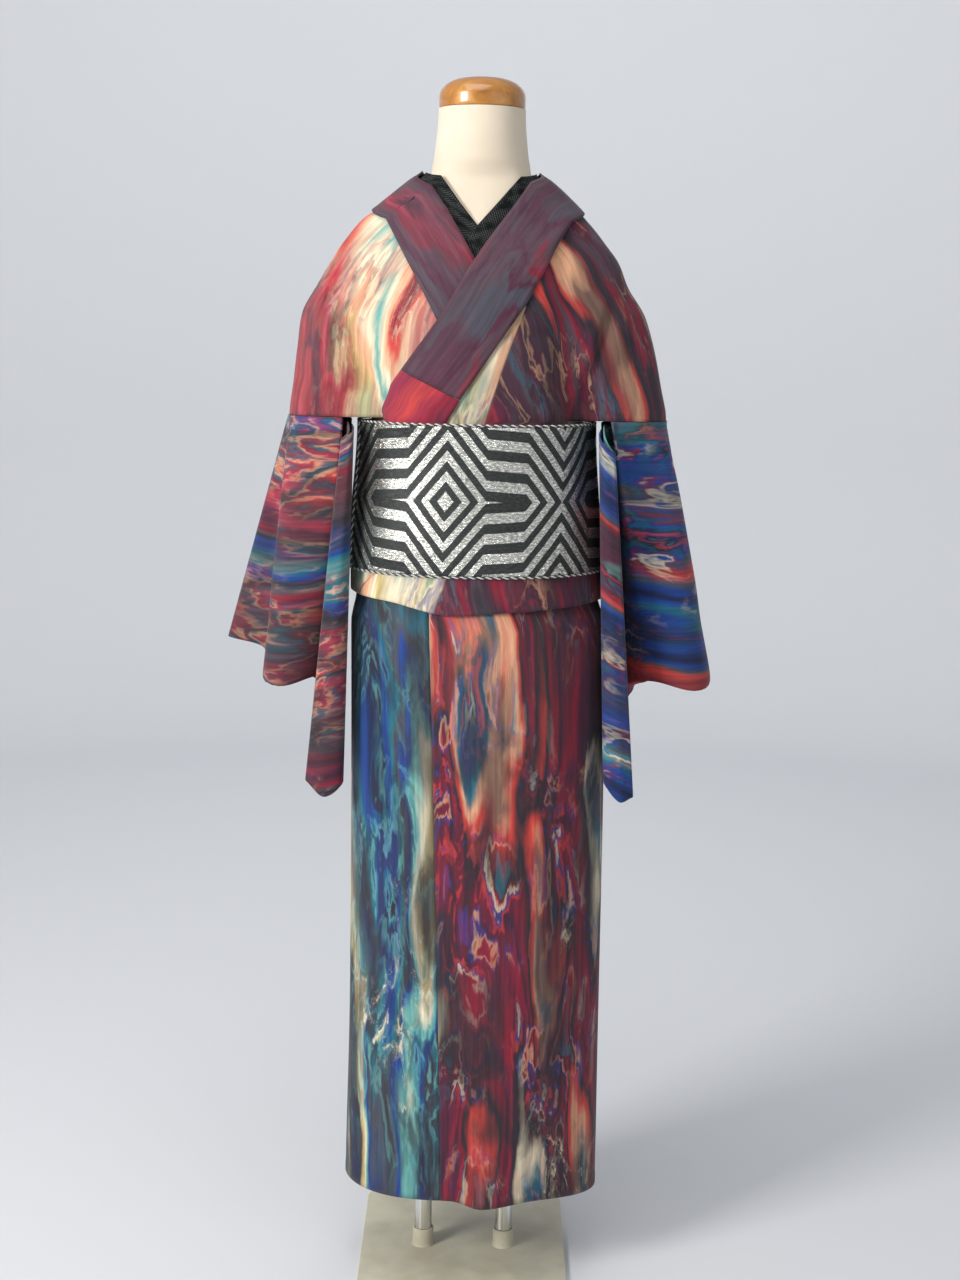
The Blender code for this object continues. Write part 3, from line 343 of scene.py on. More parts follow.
LEFT_SLEEVE = (
    Fold(0.243, -0.006, 0.243, 0.006, 1.147, 0.300, 0.036, 0.846, 0.003),
    Fold(0.240, -0.020, 0.240, 0.020, 1.147, 0.301, 0.006, 0.830, 0.010),
    Fold(0.232, -0.041, 0.232, 0.041, 1.147, 0.288, -0.030, 0.802, 0.018),
    Fold(0.175, -0.067, 0.199, 0.064, 1.147, 0.244, -0.026, 0.812, 0.018),
    Fold(0.175, -0.052, 0.194, 0.062, 1.146, 0.214, 0.010, 0.800, 0.006),
    Fold(0.181, -0.040, 0.183, 0.055, 1.145, 0.212, 0.052, 0.780, 0.003),
    Fold(0.172, -0.030, 0.170, 0.038, 1.144, 0.198, 0.058, 0.750, 0.003),
    Fold(0.163, -0.045, 0.162, 0.010, 1.143, 0.194, 0.015, 0.725, 0.003),
    Fold(0.160, -0.069, 0.161, -0.030, 1.140, 0.190, -0.038, 0.712, 0.003),
    Fold(0.160, -0.086, 0.154, -0.080, 1.132, 0.174, -0.083, 0.690, 0.003),
    Fold(0.164, -0.094, 0.158, -0.101, 1.122, 0.191, -0.093, 0.666, 0.003),
    Fold(0.171, -0.097, 0.171, -0.103, 1.112, 0.207, -0.088, 0.670, 0.003),
)
FORM = (
    Section(0.800, 0.150, 0.110, 0.112, 0.005),
    Section(0.950, 0.148, 0.112, 0.112, 0.002),
    Section(1.148, 0.136, 0.112, 0.098, 0.000),
    Section(1.235, 0.152, 0.114, 0.100, 0.000),
    Section(1.310, 0.178, 0.106, 0.102, -0.002),
    Section(1.346, 0.176, 0.094, 0.098, -0.004),
    Section(1.393, 0.141, 0.075, 0.084, -0.004),
    Section(1.425, 0.098, 0.066, 0.070, 0.000),
    Section(1.450, 0.066, 0.060, 0.062, 0.000),
    Section(1.480, 0.059, 0.058, 0.058, 0.000),
    Section(1.533, 0.055, 0.055, 0.055, 0.000),
)

# Creases of the upper body, from one (angle, height) to another
UPPER_CREASES = (
    Crease((162.0, 1.318), (148.0, 1.160), 0.0065, -0.0052, 0.003),
    Crease((166.0, 1.300), (155.0, 1.165), 0.0085, 0.0034, 0.003),
    Crease((172.0, 1.195), (150.0, 1.178), 0.0060, -0.0030, 0.004),
    Crease((18.0, 1.315), (31.0, 1.160), 0.0065, -0.0052, -0.003),
    Crease((14.0, 1.300), (24.0, 1.165), 0.0085, 0.0034, -0.003),
    Crease((36.0, 1.230), (58.0, 1.262), 0.0070, -0.0026, 0.004),
    Crease((16.0, 1.330), (31.0, 1.185), 0.010, 0.0022, 0.004),
    Crease((20.0, 1.250), (48.0, 1.205), 0.012, -0.0022, 0.006),
    Crease((24.0, 1.200), (60.0, 1.170), 0.010, -0.0016, 0.005),
    Crease((10.0, 1.290), (12.0, 1.160), 0.012, -0.0016, 0.003),
    Crease((164.0, 1.320), (151.0, 1.180), 0.011, 0.0018, 0.004),
    Crease((157.0, 1.225), (132.0, 1.165), 0.011, -0.0020, -0.004),
    Crease((160.0, 1.190), (176.0, 1.205), 0.010, -0.0018, 0.003),
    Crease((172.0, 1.280), (168.0, 1.165), 0.012, -0.0014, 0.003),
    Crease((-22.0, 1.300), (-33.0, 1.160), 0.016, -0.0030, 0.004),
    Crease((-30.0, 1.210), (-58.0, 1.165), 0.013, -0.0022, 0.005),
    Crease((-70.0, 1.300), (-62.0, 1.160), 0.018, 0.0014, 0.004),
    Crease((202.0, 1.300), (213.0, 1.160), 0.016, -0.0030, 0.004),
    Crease((210.0, 1.215), (238.0, 1.168), 0.013, -0.0020, 0.005),
    Crease((250.0, 1.290), (243.0, 1.160), 0.018, 0.0014, 0.004),
)
# Creases of the skirt
SKIRT_CREASES = (
    Crease((32.0, 0.880), (24.0, 0.180), 0.026, -0.0022, 0.010),
    Crease((14.0, 0.840), (18.0, 0.130), 0.022, 0.0018, 0.006),
    Crease((66.0, 0.560), (70.0, 0.120), 0.028, 0.0012, 0.006),
    Crease((140.0, 0.860), (146.0, 0.300), 0.024, -0.0014, 0.008),
    Crease((163.0, 0.700), (160.0, 0.120), 0.020, 0.0016, 0.006),
    Crease((205.0, 0.880), (212.0, 0.140), 0.026, -0.0024, 0.008),
    Crease((238.0, 0.860), (232.0, 0.200), 0.030, 0.0020, 0.006),
    Crease((-40.0, 0.880), (-34.0, 0.140), 0.028, -0.0024, 0.008),
    Crease((-66.0, 0.800), (-72.0, 0.200), 0.030, 0.0018, 0.006),
)
# Wrinkles of the belt's foil-like cloth
OBI_CREASES = (
    Crease((62.0, 1.128), (104.0, 1.132), 0.0050, -0.0010, 0.004),
    Crease((72.0, 1.112), (96.0, 1.120), 0.0045, 0.0009, 0.004),
    Crease((84.0, 1.096), (112.0, 1.108), 0.0040, -0.0008, 0.003),
    Crease((96.0, 1.122), (124.0, 1.116), 0.0045, -0.0008, 0.004),
    Crease((66.0, 0.972), (118.0, 0.968), 0.0045, -0.0011, 0.003),
    Crease((80.0, 0.984), (134.0, 0.979), 0.0050, 0.0009, 0.004),
    Crease((104.0, 0.996), (146.0, 0.988), 0.0040, -0.0008, 0.003),
    Crease((36.0, 0.975), (64.0, 0.969), 0.0045, -0.0009, 0.003),
    Crease((28.0, 1.120), (44.0, 1.040), 0.0060, -0.0009, 0.004),
    Crease((128.0, 1.060), (152.0, 1.012), 0.0055, -0.0007, 0.004),
    Crease((18.0, 1.000), (46.0, 1.008), 0.0055, -0.0008, 0.004),
    Crease((-40.0, 1.120), (-20.0, 1.000), 0.0080, -0.0012, 0.005),
    Crease((196.0, 1.000), (214.0, 1.110), 0.0080, -0.0012, 0.005),
)


def mix(a, b, share):
    """The value a share of the way from one to the other, for numbers or arrays."""
    return a + (b - a) * share


def ease(share) -> np.ndarray:
    """A share from 0 to 1, with soft ends."""
    share = np.clip(share, 0.0, 1.0)
    return share * share * (3 - 2 * share)


def oval(half_width, depth, power: float, angle) -> np.ndarray:
    """The radius of a rounded oval at an angle in radians."""
    across = np.abs(np.cos(angle)) / half_width
    along = np.abs(np.sin(angle)) / depth
    return (across**power + along**power) ** (-1 / power)


class Curve:
    """A smooth curve through two columns of a table, level past its ends.

    Args:
        rows: The table.
        value: The name of the column that is read.
        by: The name of the column that says where.
    """

    def __init__(self, rows: Sequence[NamedTuple], value: str, by: str = "z") -> None:
        """Works out the curve's slopes at the rows."""
        self.places = np.array([getattr(row, by) for row in rows])
        self.values = np.array([getattr(row, value) for row in rows])
        steps = np.diff(self.values) / np.diff(self.places)
        self.slopes = np.zeros(len(rows))
        for i in range(1, len(rows) - 1):
            before, after = steps[i - 1], steps[i]
            self.slopes[i] = 2 * before * after / (before + after) if before * after > 0 else 0.0

    def __call__(self, key) -> np.ndarray:
        """The curve's value at one or more places."""
        key = np.asarray(key, float)
        low = np.clip(np.searchsorted(self.places, key, side="right") - 1, 0, len(self.places) - 2)
        width = self.places[low + 1] - self.places[low]
        share = np.clip((key - self.places[low]) / width, 0, 1)
        rise = self.values[low + 1] - self.values[low]
        start, end = self.slopes[low] * width, self.slopes[low + 1] * width
        bend = 3 * rise - 2 * start - end
        return self.values[low] + share * (start + share * (bend + share * (start + end - 2 * rise)))


class CreaseField:
    """The soft creases that a stretch of cloth shares with what lies on it.

    Args:
        creases: The creases, with places as (angle, height).
        reach: The body's rough radius in metres, which turns angles into lengths.
    """

    def __init__(self, creases: Sequence[Crease], reach: float) -> None:
        """Keeps the creases."""
        self.creases = creases
        self.reach = reach

    def __call__(self, z, degrees) -> np.ndarray:
        """How far the creases lift the cloth, in metres."""
        z, degrees = np.broadcast_arrays(np.asarray(z, float), np.asarray(degrees, float))
        total = np.zeros(z.shape)
        for crease in self.creases:
            for turn in (-360.0, 0.0, 360.0):
                total += self.one(crease, z, degrees + turn)
        return total

    def one(self, crease: Crease, z: np.ndarray, degrees: np.ndarray) -> np.ndarray:
        """The lift of one crease, which fades towards its ends."""
        arc = math.radians(1.0) * self.reach
        start = np.array([crease.start[0] * arc, crease.start[1]])
        end = np.array([crease.end[0] * arc, crease.end[1]])
        length = float(np.linalg.norm(end - start))
        along = (end - start) / length
        from_start = np.stack([degrees * arc - start[0], z - start[1]], axis=-1)
        share = (from_start @ along) / length
        side = from_start @ np.array([-along[1], along[0]])
        side = side - crease.bow * np.sin(np.pi * np.clip(share, 0, 1))
        fade = ease(share / 0.35) * ease((1 - share) / 0.35)
        return crease.height * fade * np.exp(-((side / crease.width) ** 2))


class DrapedBody:
    """The robe's innermost layer as a surface of level sections round the form."""

    def __init__(self) -> None:
        """Prepares the sections' curves."""
        self.torso = {name: Curve(TORSO, name) for name in ("half_width", "front", "back", "shift")}
        self.cape = {name: Curve(CAPE, name) for name in ("reach", "front", "back", "shift")}
        self.arm_folds = [
            {name: Curve(rows, name) for name in ("angle", "depth")}
            for rows in (LEFT_ARM_FOLD, RIGHT_ARM_FOLD)
        ]

    def arm_fold(self, z, degrees) -> np.ndarray:
        """How deep the cloth turns in at the fold between chest and arm."""
        left, right = self.arm_folds
        across_left = degrees - left["angle"](z)
        across_right = 180.0 - degrees - right["angle"](z)
        fold_left = left["depth"](z) * np.exp(-((across_left / ARM_FOLD_WIDTH) ** 2))
        fold_right = right["depth"](z) * np.exp(-((across_right / ARM_FOLD_WIDTH) ** 2))
        return np.where(degrees <= 90.0, fold_left, fold_right)

    def radius(self, z, degrees, sleeved: bool) -> np.ndarray:
        """How far the layer is from its section's middle."""
        angle = np.radians(degrees)
        ahead = np.sin(angle) >= 0
        depth = np.where(ahead, self.torso["front"](z), self.torso["back"](z))
        body = oval(self.torso["half_width"](z), depth, TORSO_POWER, angle)
        if not sleeved:
            return body
        depth = np.where(ahead, self.cape["front"](z), self.cape["back"](z))
        cape = oval(self.cape["reach"](z), depth, CAPE_POWER, angle)
        return (body**BLEND_POWER + cape**BLEND_POWER) ** (1 / BLEND_POWER) - self.arm_fold(z, degrees)

    def ring(self, z, degrees, sleeved: bool) -> np.ndarray:
        """Points of the layer."""
        z, degrees = np.broadcast_arrays(np.asarray(z, float), np.asarray(degrees, float))
        angle = np.radians(degrees)
        middle = self.cape["shift"](z) if sleeved else self.torso["shift"](z)
        reach = self.radius(z, degrees, sleeved)
        return np.stack([middle + reach * np.cos(angle), -reach * np.sin(angle), z], axis=-1)

    def drape(self, z, degrees, out=0.0, sleeved: bool = False) -> np.ndarray:
        """Points that stand a distance out from the layer.

        Args:
            z: Heights.
            degrees: Angles round the body.
            out: Distances out from the layer.
            sleeved: Whether the section reaches out over the arms.

        Returns:
            An array of points, one for each height and angle.
        """
        step, lift = 0.4, 0.002
        z, degrees, out = np.broadcast_arrays(
            np.asarray(z, float), np.asarray(degrees, float), np.asarray(out, float)
        )
        here = self.ring(z, degrees, sleeved)
        around = self.ring(z, degrees + step, sleeved) - self.ring(z, degrees - step, sleeved)
        upward = self.ring(z + lift, degrees, sleeved) - self.ring(z - lift, degrees, sleeved)
        normal = np.cross(around, upward)
        normal /= np.linalg.norm(normal, axis=-1, keepdims=True)
        return here - normal * out[..., None]

    def angle_at(self, x, z, sleeved: bool) -> np.ndarray:
        """The angles at which the front of the body passes given places across."""
        x, z = np.broadcast_arrays(np.asarray(x, float), np.asarray(z, float))
        low, high = np.zeros(x.shape), np.full(x.shape, 180.0)
        for _ in range(24):
            middle = (low + high) / 2
            beyond = self.ring(z, middle, sleeved)[..., 0] > x
            low, high = np.where(beyond, middle, low), np.where(beyond, high, middle)
        return (low + high) / 2


BODY = DrapedBody()
UPPER_FIELD = CreaseField(UPPER_CREASES, UPPER_REACH)
SKIRT_FIELD = CreaseField(SKIRT_CREASES, SKIRT_REACH)
OBI_FIELD = CreaseField(OBI_CREASES, SKIRT_REACH)


def upper_creases(z, degrees) -> np.ndarray:
    """The upper body's creases, which die away at the armhole seam and under the obi."""
    return UPPER_FIELD(z, degrees) * ease((np.asarray(z) - ARMHOLE_Z) / 0.012)


def left_front_out(degrees, z) -> np.ndarray:
    """How far the wearer's left front stands out, where it lies over the right one."""
    return LEFT_FRONT_OUT * ease((degrees - 36.0) / 14.0) * ease((1.400 - z) / 0.060)


@dataclass
class ClothGrid:
    """One cloth surface as rows and columns of points, where a point that isn't a number is a hole.

    Attributes:
        points: An array of rows, columns and three coordinates.
        closed: Whether the last column meets the first.
        anchor: The column from which lengths across the cloth are measured.
    """

    points: np.ndarray
    closed: bool = False
    anchor: int = 0

    def flat_map(self) -> np.ndarray:
        """Each point's place on the flat cloth, across and down, in metres."""
        filled = self.points
        across = np.nan_to_num(np.linalg.norm(np.diff(filled, axis=1), axis=2))
        down = np.linalg.norm(np.diff(filled, axis=0), axis=2)
        usual = np.nanmean(down, axis=1, keepdims=True)
        down = np.where(np.isnan(down), usual, down)
        u = np.concatenate([np.zeros((len(filled), 1)), np.cumsum(across, axis=1)], axis=1)
        v = np.concatenate([np.zeros((1, down.shape[1])), np.cumsum(down, axis=0)], axis=0)
        return np.stack([u - u[:, [self.anchor]], -v], axis=-1)

    def cut(self) -> tuple[float, float, float]:
        """The flat cloth's width, length and area, as the surface is cut."""
        flat = self.flat_map()
        u, v = flat[..., 0], flat[..., 1]
        return float(u.max() - u.min()), float(v.max() - v.min()), self.area()

    def area(self) -> float:
        """The surface's area."""
        p = self.points
        first = np.linalg.norm(np.cross(p[1:, 1:] - p[:-1, :-1], p[1:, :-1] - p[:-1, 1:]), axis=2) / 2
        total = float(np.nansum(first))
        if self.closed:
            ends = np.cross(p[1:, 0] - p[:-1, -1], p[1:, -1] - p[:-1, 0])
            total += float(np.nansum(np.linalg.norm(ends, axis=1) / 2))
        return total


def new_object(name: str, data) -> Object:
    """Puts a new object in the scene, at the origin."""
    obj = bpy.data.objects.new(name, data)
    bpy.context.scene.collection.objects.link(obj)
    return obj


def smooth_object(name: str, work: bmesh.types.BMesh, sharp_from: float = 180.0) -> Object:
    """Turns a bmesh into a smooth object, with sharp edges past an angle in degrees."""
    mesh = bpy.data.meshes.new(name)
    work.to_mesh(mesh)
    work.free()
    mesh.shade_smooth()
    if sharp_from < 180.0:
        mesh.set_sharp_from_angle(angle=math.radians(sharp_from))
    return new_object(name, mesh)


class MeshMaker:
    """Collects points and faces of one piece, with each face corner's place on the flat cloth."""

    MAP = "cloth"

    def __init__(self) -> None:
        """Starts an empty mesh."""
        self.work = bmesh.new()
        self.layer = self.work.loops.layers.uv.new(self.MAP)

    def add_face(self, corners: Sequence, places: Sequence) -> None:
        """Adds one face with its corners' places on the flat cloth."""
        face = self.work.faces.new(corners)
        for loop, place in zip(face.loops, places):
            loop[self.layer].uv = place

    def add_grid(self, grid: ClothGrid) -> None:
        """Adds a cloth surface."""
        flat = grid.flat_map()
        rows, columns = grid.points.shape[:2]
        solid = ~np.isnan(grid.points[..., 0])
        verts = [
            [self.work.verts.new(grid.points[i, j]) if solid[i, j] else None for j in range(columns)]
            for i in range(rows)
        ]
        last = columns if grid.closed else columns - 1
        width = np.linalg.norm(grid.points[:, 0] - grid.points[:, -1], axis=1) if grid.closed else None
        for i in range(rows - 1):
            for j in range(last):
                k = (j + 1) % columns
                corners = (verts[i][j], verts[i][k], verts[i + 1][k], verts[i + 1][j])
                if None in corners:
                    continue
                places = [flat[i, j], flat[i, k], flat[i + 1, k], flat[i + 1, j]]
                if k == 0:
                    places[1] = flat[i, j] + (width[i], 0)
                    places[2] = flat[i + 1, j] + (width[i + 1], 0)
                self.add_face(corners, places)

    def finish(self, name: str, outward: Callable[[Vector], Vector] | None = None) -> Object:
        """Turns what was collected into a smooth object.

        Args:
            name: The piece's name.
            outward: Gives the outward direction at a point, for an open surface.

        Returns:
            The new object at the origin.
        """
        loose = [v for v in self.work.verts if not v.link_faces]
        bmesh.ops.delete(self.work, geom=loose, context="VERTS")
        bmesh.ops.recalc_face_normals(self.work, faces=self.work.faces)
        if outward is not None:
            score = sum(f.normal.dot(outward(f.calc_center_median())) * f.calc_area()
                        for f in self.work.faces)
            if score < 0:
                bmesh.ops.reverse_faces(self.work, faces=self.work.faces)
        return smooth_object(name, self.work)


def from_axis(point: Vector) -> Vector:
    """The direction from the body's upright axis to a point."""
    return Vector((point.x, point.y, 0)).normalized()


def give_wall(obj: Object, wall: float) -> None:
    """Gives a cloth surface its wall, half on each side."""
    solid = obj.modifiers.new("wall", "SOLIDIFY")
    solid.thickness = wall
    solid.offset = 0
    solid.use_even_offset = False
    solid.use_quality_normals = True


class Slot(Enum):
    """The record's material slots."""

    PAINT = "khaki_paint"
    STEEL = "steel_tube"
    FORM = "form_cloth"
    WOOD = "honey_wood"
    CRIMSON = "crimson_cloth"
    CREAM = "cream_cloth"
    BLUE = "blue_cloth"
    PLUM = "plum_cloth"
    BLACK = "black_cloth"
    SILVER = "silver_cloth"
    CORD = "cord_yarn"


class Held(Enum):
    """How a cloth is held."""

    DRAPED = "draped"
    HUNG = "hung"
    FOLDED = "folded"
    STRETCHED = "stretched"


def hand_over(obj: Object, finish: Material, slot: Slot, *nodes: str) -> None:
    """Dresses a piece, hangs it under the root and hides the solids that it stands for.

    Args:
        obj: The piece.
        finish: Its material.
        slot: The record's slot that it takes its finish from; not used.
        *nodes: The solids that it replaces.
    """
    if finish.name not in obj.data.materials:
        obj.data.materials.append(finish)
    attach(obj, "root")
    if nodes:
        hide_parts(*nodes)
    log.info("%s: %d faces", obj.name, len(obj.data.polygons))


def declare_cloth(
    obj: Object,
    grids: Sequence[ClothGrid],
    held: Held,
) -> None:
    """States the flat cut of a cloth piece from its surfaces, laid out side by side.

    Args:
        obj: The piece.
        grids: Its surfaces.
        held: How the cloth is held; not used.
    """
    cuts = [grid.cut() for grid in grids]
    width = round(sum(cut[0] for cut in cuts), 3)
    length = round(max(cut[1] for cut in cuts), 3)
    area = min(sum(cut[2] for cut in cuts), width * length)
    log.info("%s: cut %.3f x %.3f m, %.4f square metres", obj.name, width, length, area)


def sew(name: str, grid: ClothGrid, wall: float, finish: Material, slot: Slot, held: Held,
        edge: float = 0.0) -> Object:
    """Makes a cloth piece of one surface, gives it its wall, dresses it and states its cut.

    Args:
        name: The name of its node, from which its own is made.
        grid: Its surface.
        wall: The wall's thickness.
        finish: Its material.
        slot: Its slot in the record.
        held: How the cloth is held.
        edge: How far its edges are rounded.

    Returns:
        The piece.
    """
    maker = MeshMaker()
    maker.add_grid(grid)
    obj = maker.finish(f"{name}_cloth", from_axis)
    give_wall(obj, wall)
    if edge:
        bevel = obj.modifiers.new("soft_edge", "BEVEL")
        bevel.width, bevel.segments = edge, 3
        bevel.limit_method, bevel.angle_limit = "ANGLE", math.radians(50)
    hand_over(obj, finish, slot, name)
    declare_cloth(obj, [grid], held)
    return obj


# Finishes


class TreeWriter:
    """Writes the nodes of a tree."""

    tree: bpy.types.NodeTree

    def add(self, kind: str, inputs: dict | None = None, **settings) -> Node:
        """Adds a node, with its settings and its inputs by name or number, linked or set."""
        node = self.tree.nodes.new(kind)
        for key, value in settings.items():
            setattr(node, key, value)
        for key, value in (inputs or {}).items():
            if isinstance(value, NodeSocket):
                self.tree.links.new(value, node.inputs[key])
            else:
                node.inputs[key].default_value = value
        return node

    def math(self, operation: str, first, second=0.0) -> NodeSocket:
        """One sum of numbers."""
        return self.add("ShaderNodeMath", {0: first, 1: second}, operation=operation).outputs[0]

    def times(self, first, second) -> NodeSocket:
        """A product."""
        return self.math("MULTIPLY", first, second)

    def plus(self, first, second) -> NodeSocket:
        """A sum."""
        return self.math("ADD", first, second)

    def less(self, first, second) -> NodeSocket:
        """A difference."""
        return self.math("SUBTRACT", first, second)

    def sine(self, angle) -> NodeSocket:
        """The sine of an angle."""
        return self.math("SINE", angle)

    def vector(self, operation: str, first, second=(0, 0, 0)) -> NodeSocket:
        """One sum of vectors."""
        return self.add("ShaderNodeVectorMath", {0: first, 1: second}, operation=operation).outputs[0]


class Nodes(TreeWriter):
    """Writes the nodes of one material.

    Args:
        name: The material's name.
    """

    def __init__(self, name: str) -> None:
        """Starts a material with a Principled shader."""
        self.material = bpy.data.materials.new(name)
        self.material.use_nodes = True
        self.tree = self.material.node_tree
        self.shader = self.tree.nodes["Principled BSDF"]

    def link(self, source: NodeSocket, name: str) -> None:
        """Links a socket to one of the shader's inputs."""
        self.tree.links.new(source, self.shader.inputs[name])

    def value(self, name: str, value) -> None:
        """Sets one of the shader's inputs."""
        self.shader.inputs[name].default_value = value

    def size(self, value) -> NodeSocket:
        """A number without its sign."""
        return self.math("ABSOLUTE", value)

    def scaled(self, place, by: tuple) -> NodeSocket:
        """A place stretched along each axis."""
        return self.vector("MULTIPLY", place, by)

    def object_place(self) -> NodeSocket:
        """The place in the piece's own coordinates."""
        return self.add("ShaderNodeTexCoord").outputs["Object"]

    def noise(self, place, scale: float, detail: float = 2.0, roughness: float = 0.5,
              distortion: float = 0.0) -> Node:
        """A noise node, whose first output is its value and second its colour."""
        wanted = {"Vector": place, "Scale": scale, "Detail": detail, "Roughness": roughness,
                  "Distortion": distortion}
        return self.add("ShaderNodeTexNoise", wanted, noise_dimensions="3D")

    def band(self, value, low: float, high: float) -> NodeSocket:
        """A soft step from 0 at one value to 1 at another."""
        wanted = {"Value": value, "From Min": low, "From Max": high}
        return self.add("ShaderNodeMapRange", wanted, interpolation_type="SMOOTHSTEP").outputs["Result"]

    def blend(self, share, first, second, kind: str = "MIX") -> NodeSocket:
        """A mix of two colours."""
        node = self.add("ShaderNodeMix", data_type="RGBA", blend_type=kind, clamp_result=True)
        for socket, value in ((node.inputs[0], share), (node.inputs[6], first), (node.inputs[7], second)):
            if isinstance(value, NodeSocket):
                self.tree.links.new(value, socket)
            else:
                socket.default_value = value
        return node.outputs[2]

    def ramp(self, value, stops: Sequence[tuple[float, tuple[float, float, float]]]) -> NodeSocket:
        """Colours along a value."""
        node = self.add("ShaderNodeValToRGB", {0: value})
        node.color_ramp.interpolation = "EASE"
        elements = node.color_ramp.elements
        while len(elements) > 1:
            elements.remove(elements[-1])
        elements[0].position, elements[0].color = stops[0][0], (*stops[0][1], 1)
        for place, colour in stops[1:]:
            elements.new(place).color = (*colour, 1)
        return node.outputs[0]

    def cloth_place(self) -> NodeSocket:
        """The place on the flat cloth, in metres."""
        return self.add("ShaderNodeUVMap", uv_map=MeshMaker.MAP).outputs[0]

    def split(self, vector) -> tuple[NodeSocket, NodeSocket]:
        """The first two parts of a vector."""
        node = self.add("ShaderNodeSeparateXYZ", {0: vector})
        return node.outputs[0], node.outputs[1]

    def join(self, x, y, z=0.0) -> NodeSocket:
        """A vector from its parts."""
        return self.add("ShaderNodeCombineXYZ", {0: x, 1: y, 2: z}).outputs[0]

    def bump(self, height, distance: float, strength: float = 1.0, normal=None) -> NodeSocket:
        """A bump of a height map, on top of another if one is given."""
        wanted = {"Height": height, "Distance": distance, "Strength": strength}
        if normal is not None:
            wanted["Normal"] = normal
        return self.add("ShaderNodeBump", wanted).outputs[0]

    def weave(self, u, v, pitch: float) -> NodeSocket:
        """The height of a plain weave of a thread pitch."""
        turns = 2 * math.pi / pitch
        across = self.sine(self.times(u, turns))
        along = self.sine(self.times(v, turns))
        return self.times(across, along)


CRIMSON = (0.230, 0.012, 0.030)
ROSE = (0.330, 0.026, 0.056)
CORAL = (0.560, 0.052, 0.040)
PEACH = (0.700, 0.360, 0.210)
CREAM = (0.740, 0.640, 0.450)
STRAW = (0.520, 0.400, 0.160)
AQUA = (0.130, 0.360, 0.330)
TEAL = (0.010, 0.130, 0.180)
COBALT = (0.008, 0.045, 0.230)
NAVY = (0.007, 0.015, 0.060)
SLATE = (0.060, 0.068, 0.088)
CHARCOAL = (0.024, 0.021, 0.028)
PLUM = (0.075, 0.014, 0.036)
MAUVE = (0.085, 0.050, 0.066)


class Run(Enum):
    """Which way the dye's streaks run on a cloth piece."""

    DOWN = "down"
    ACROSS = "across"


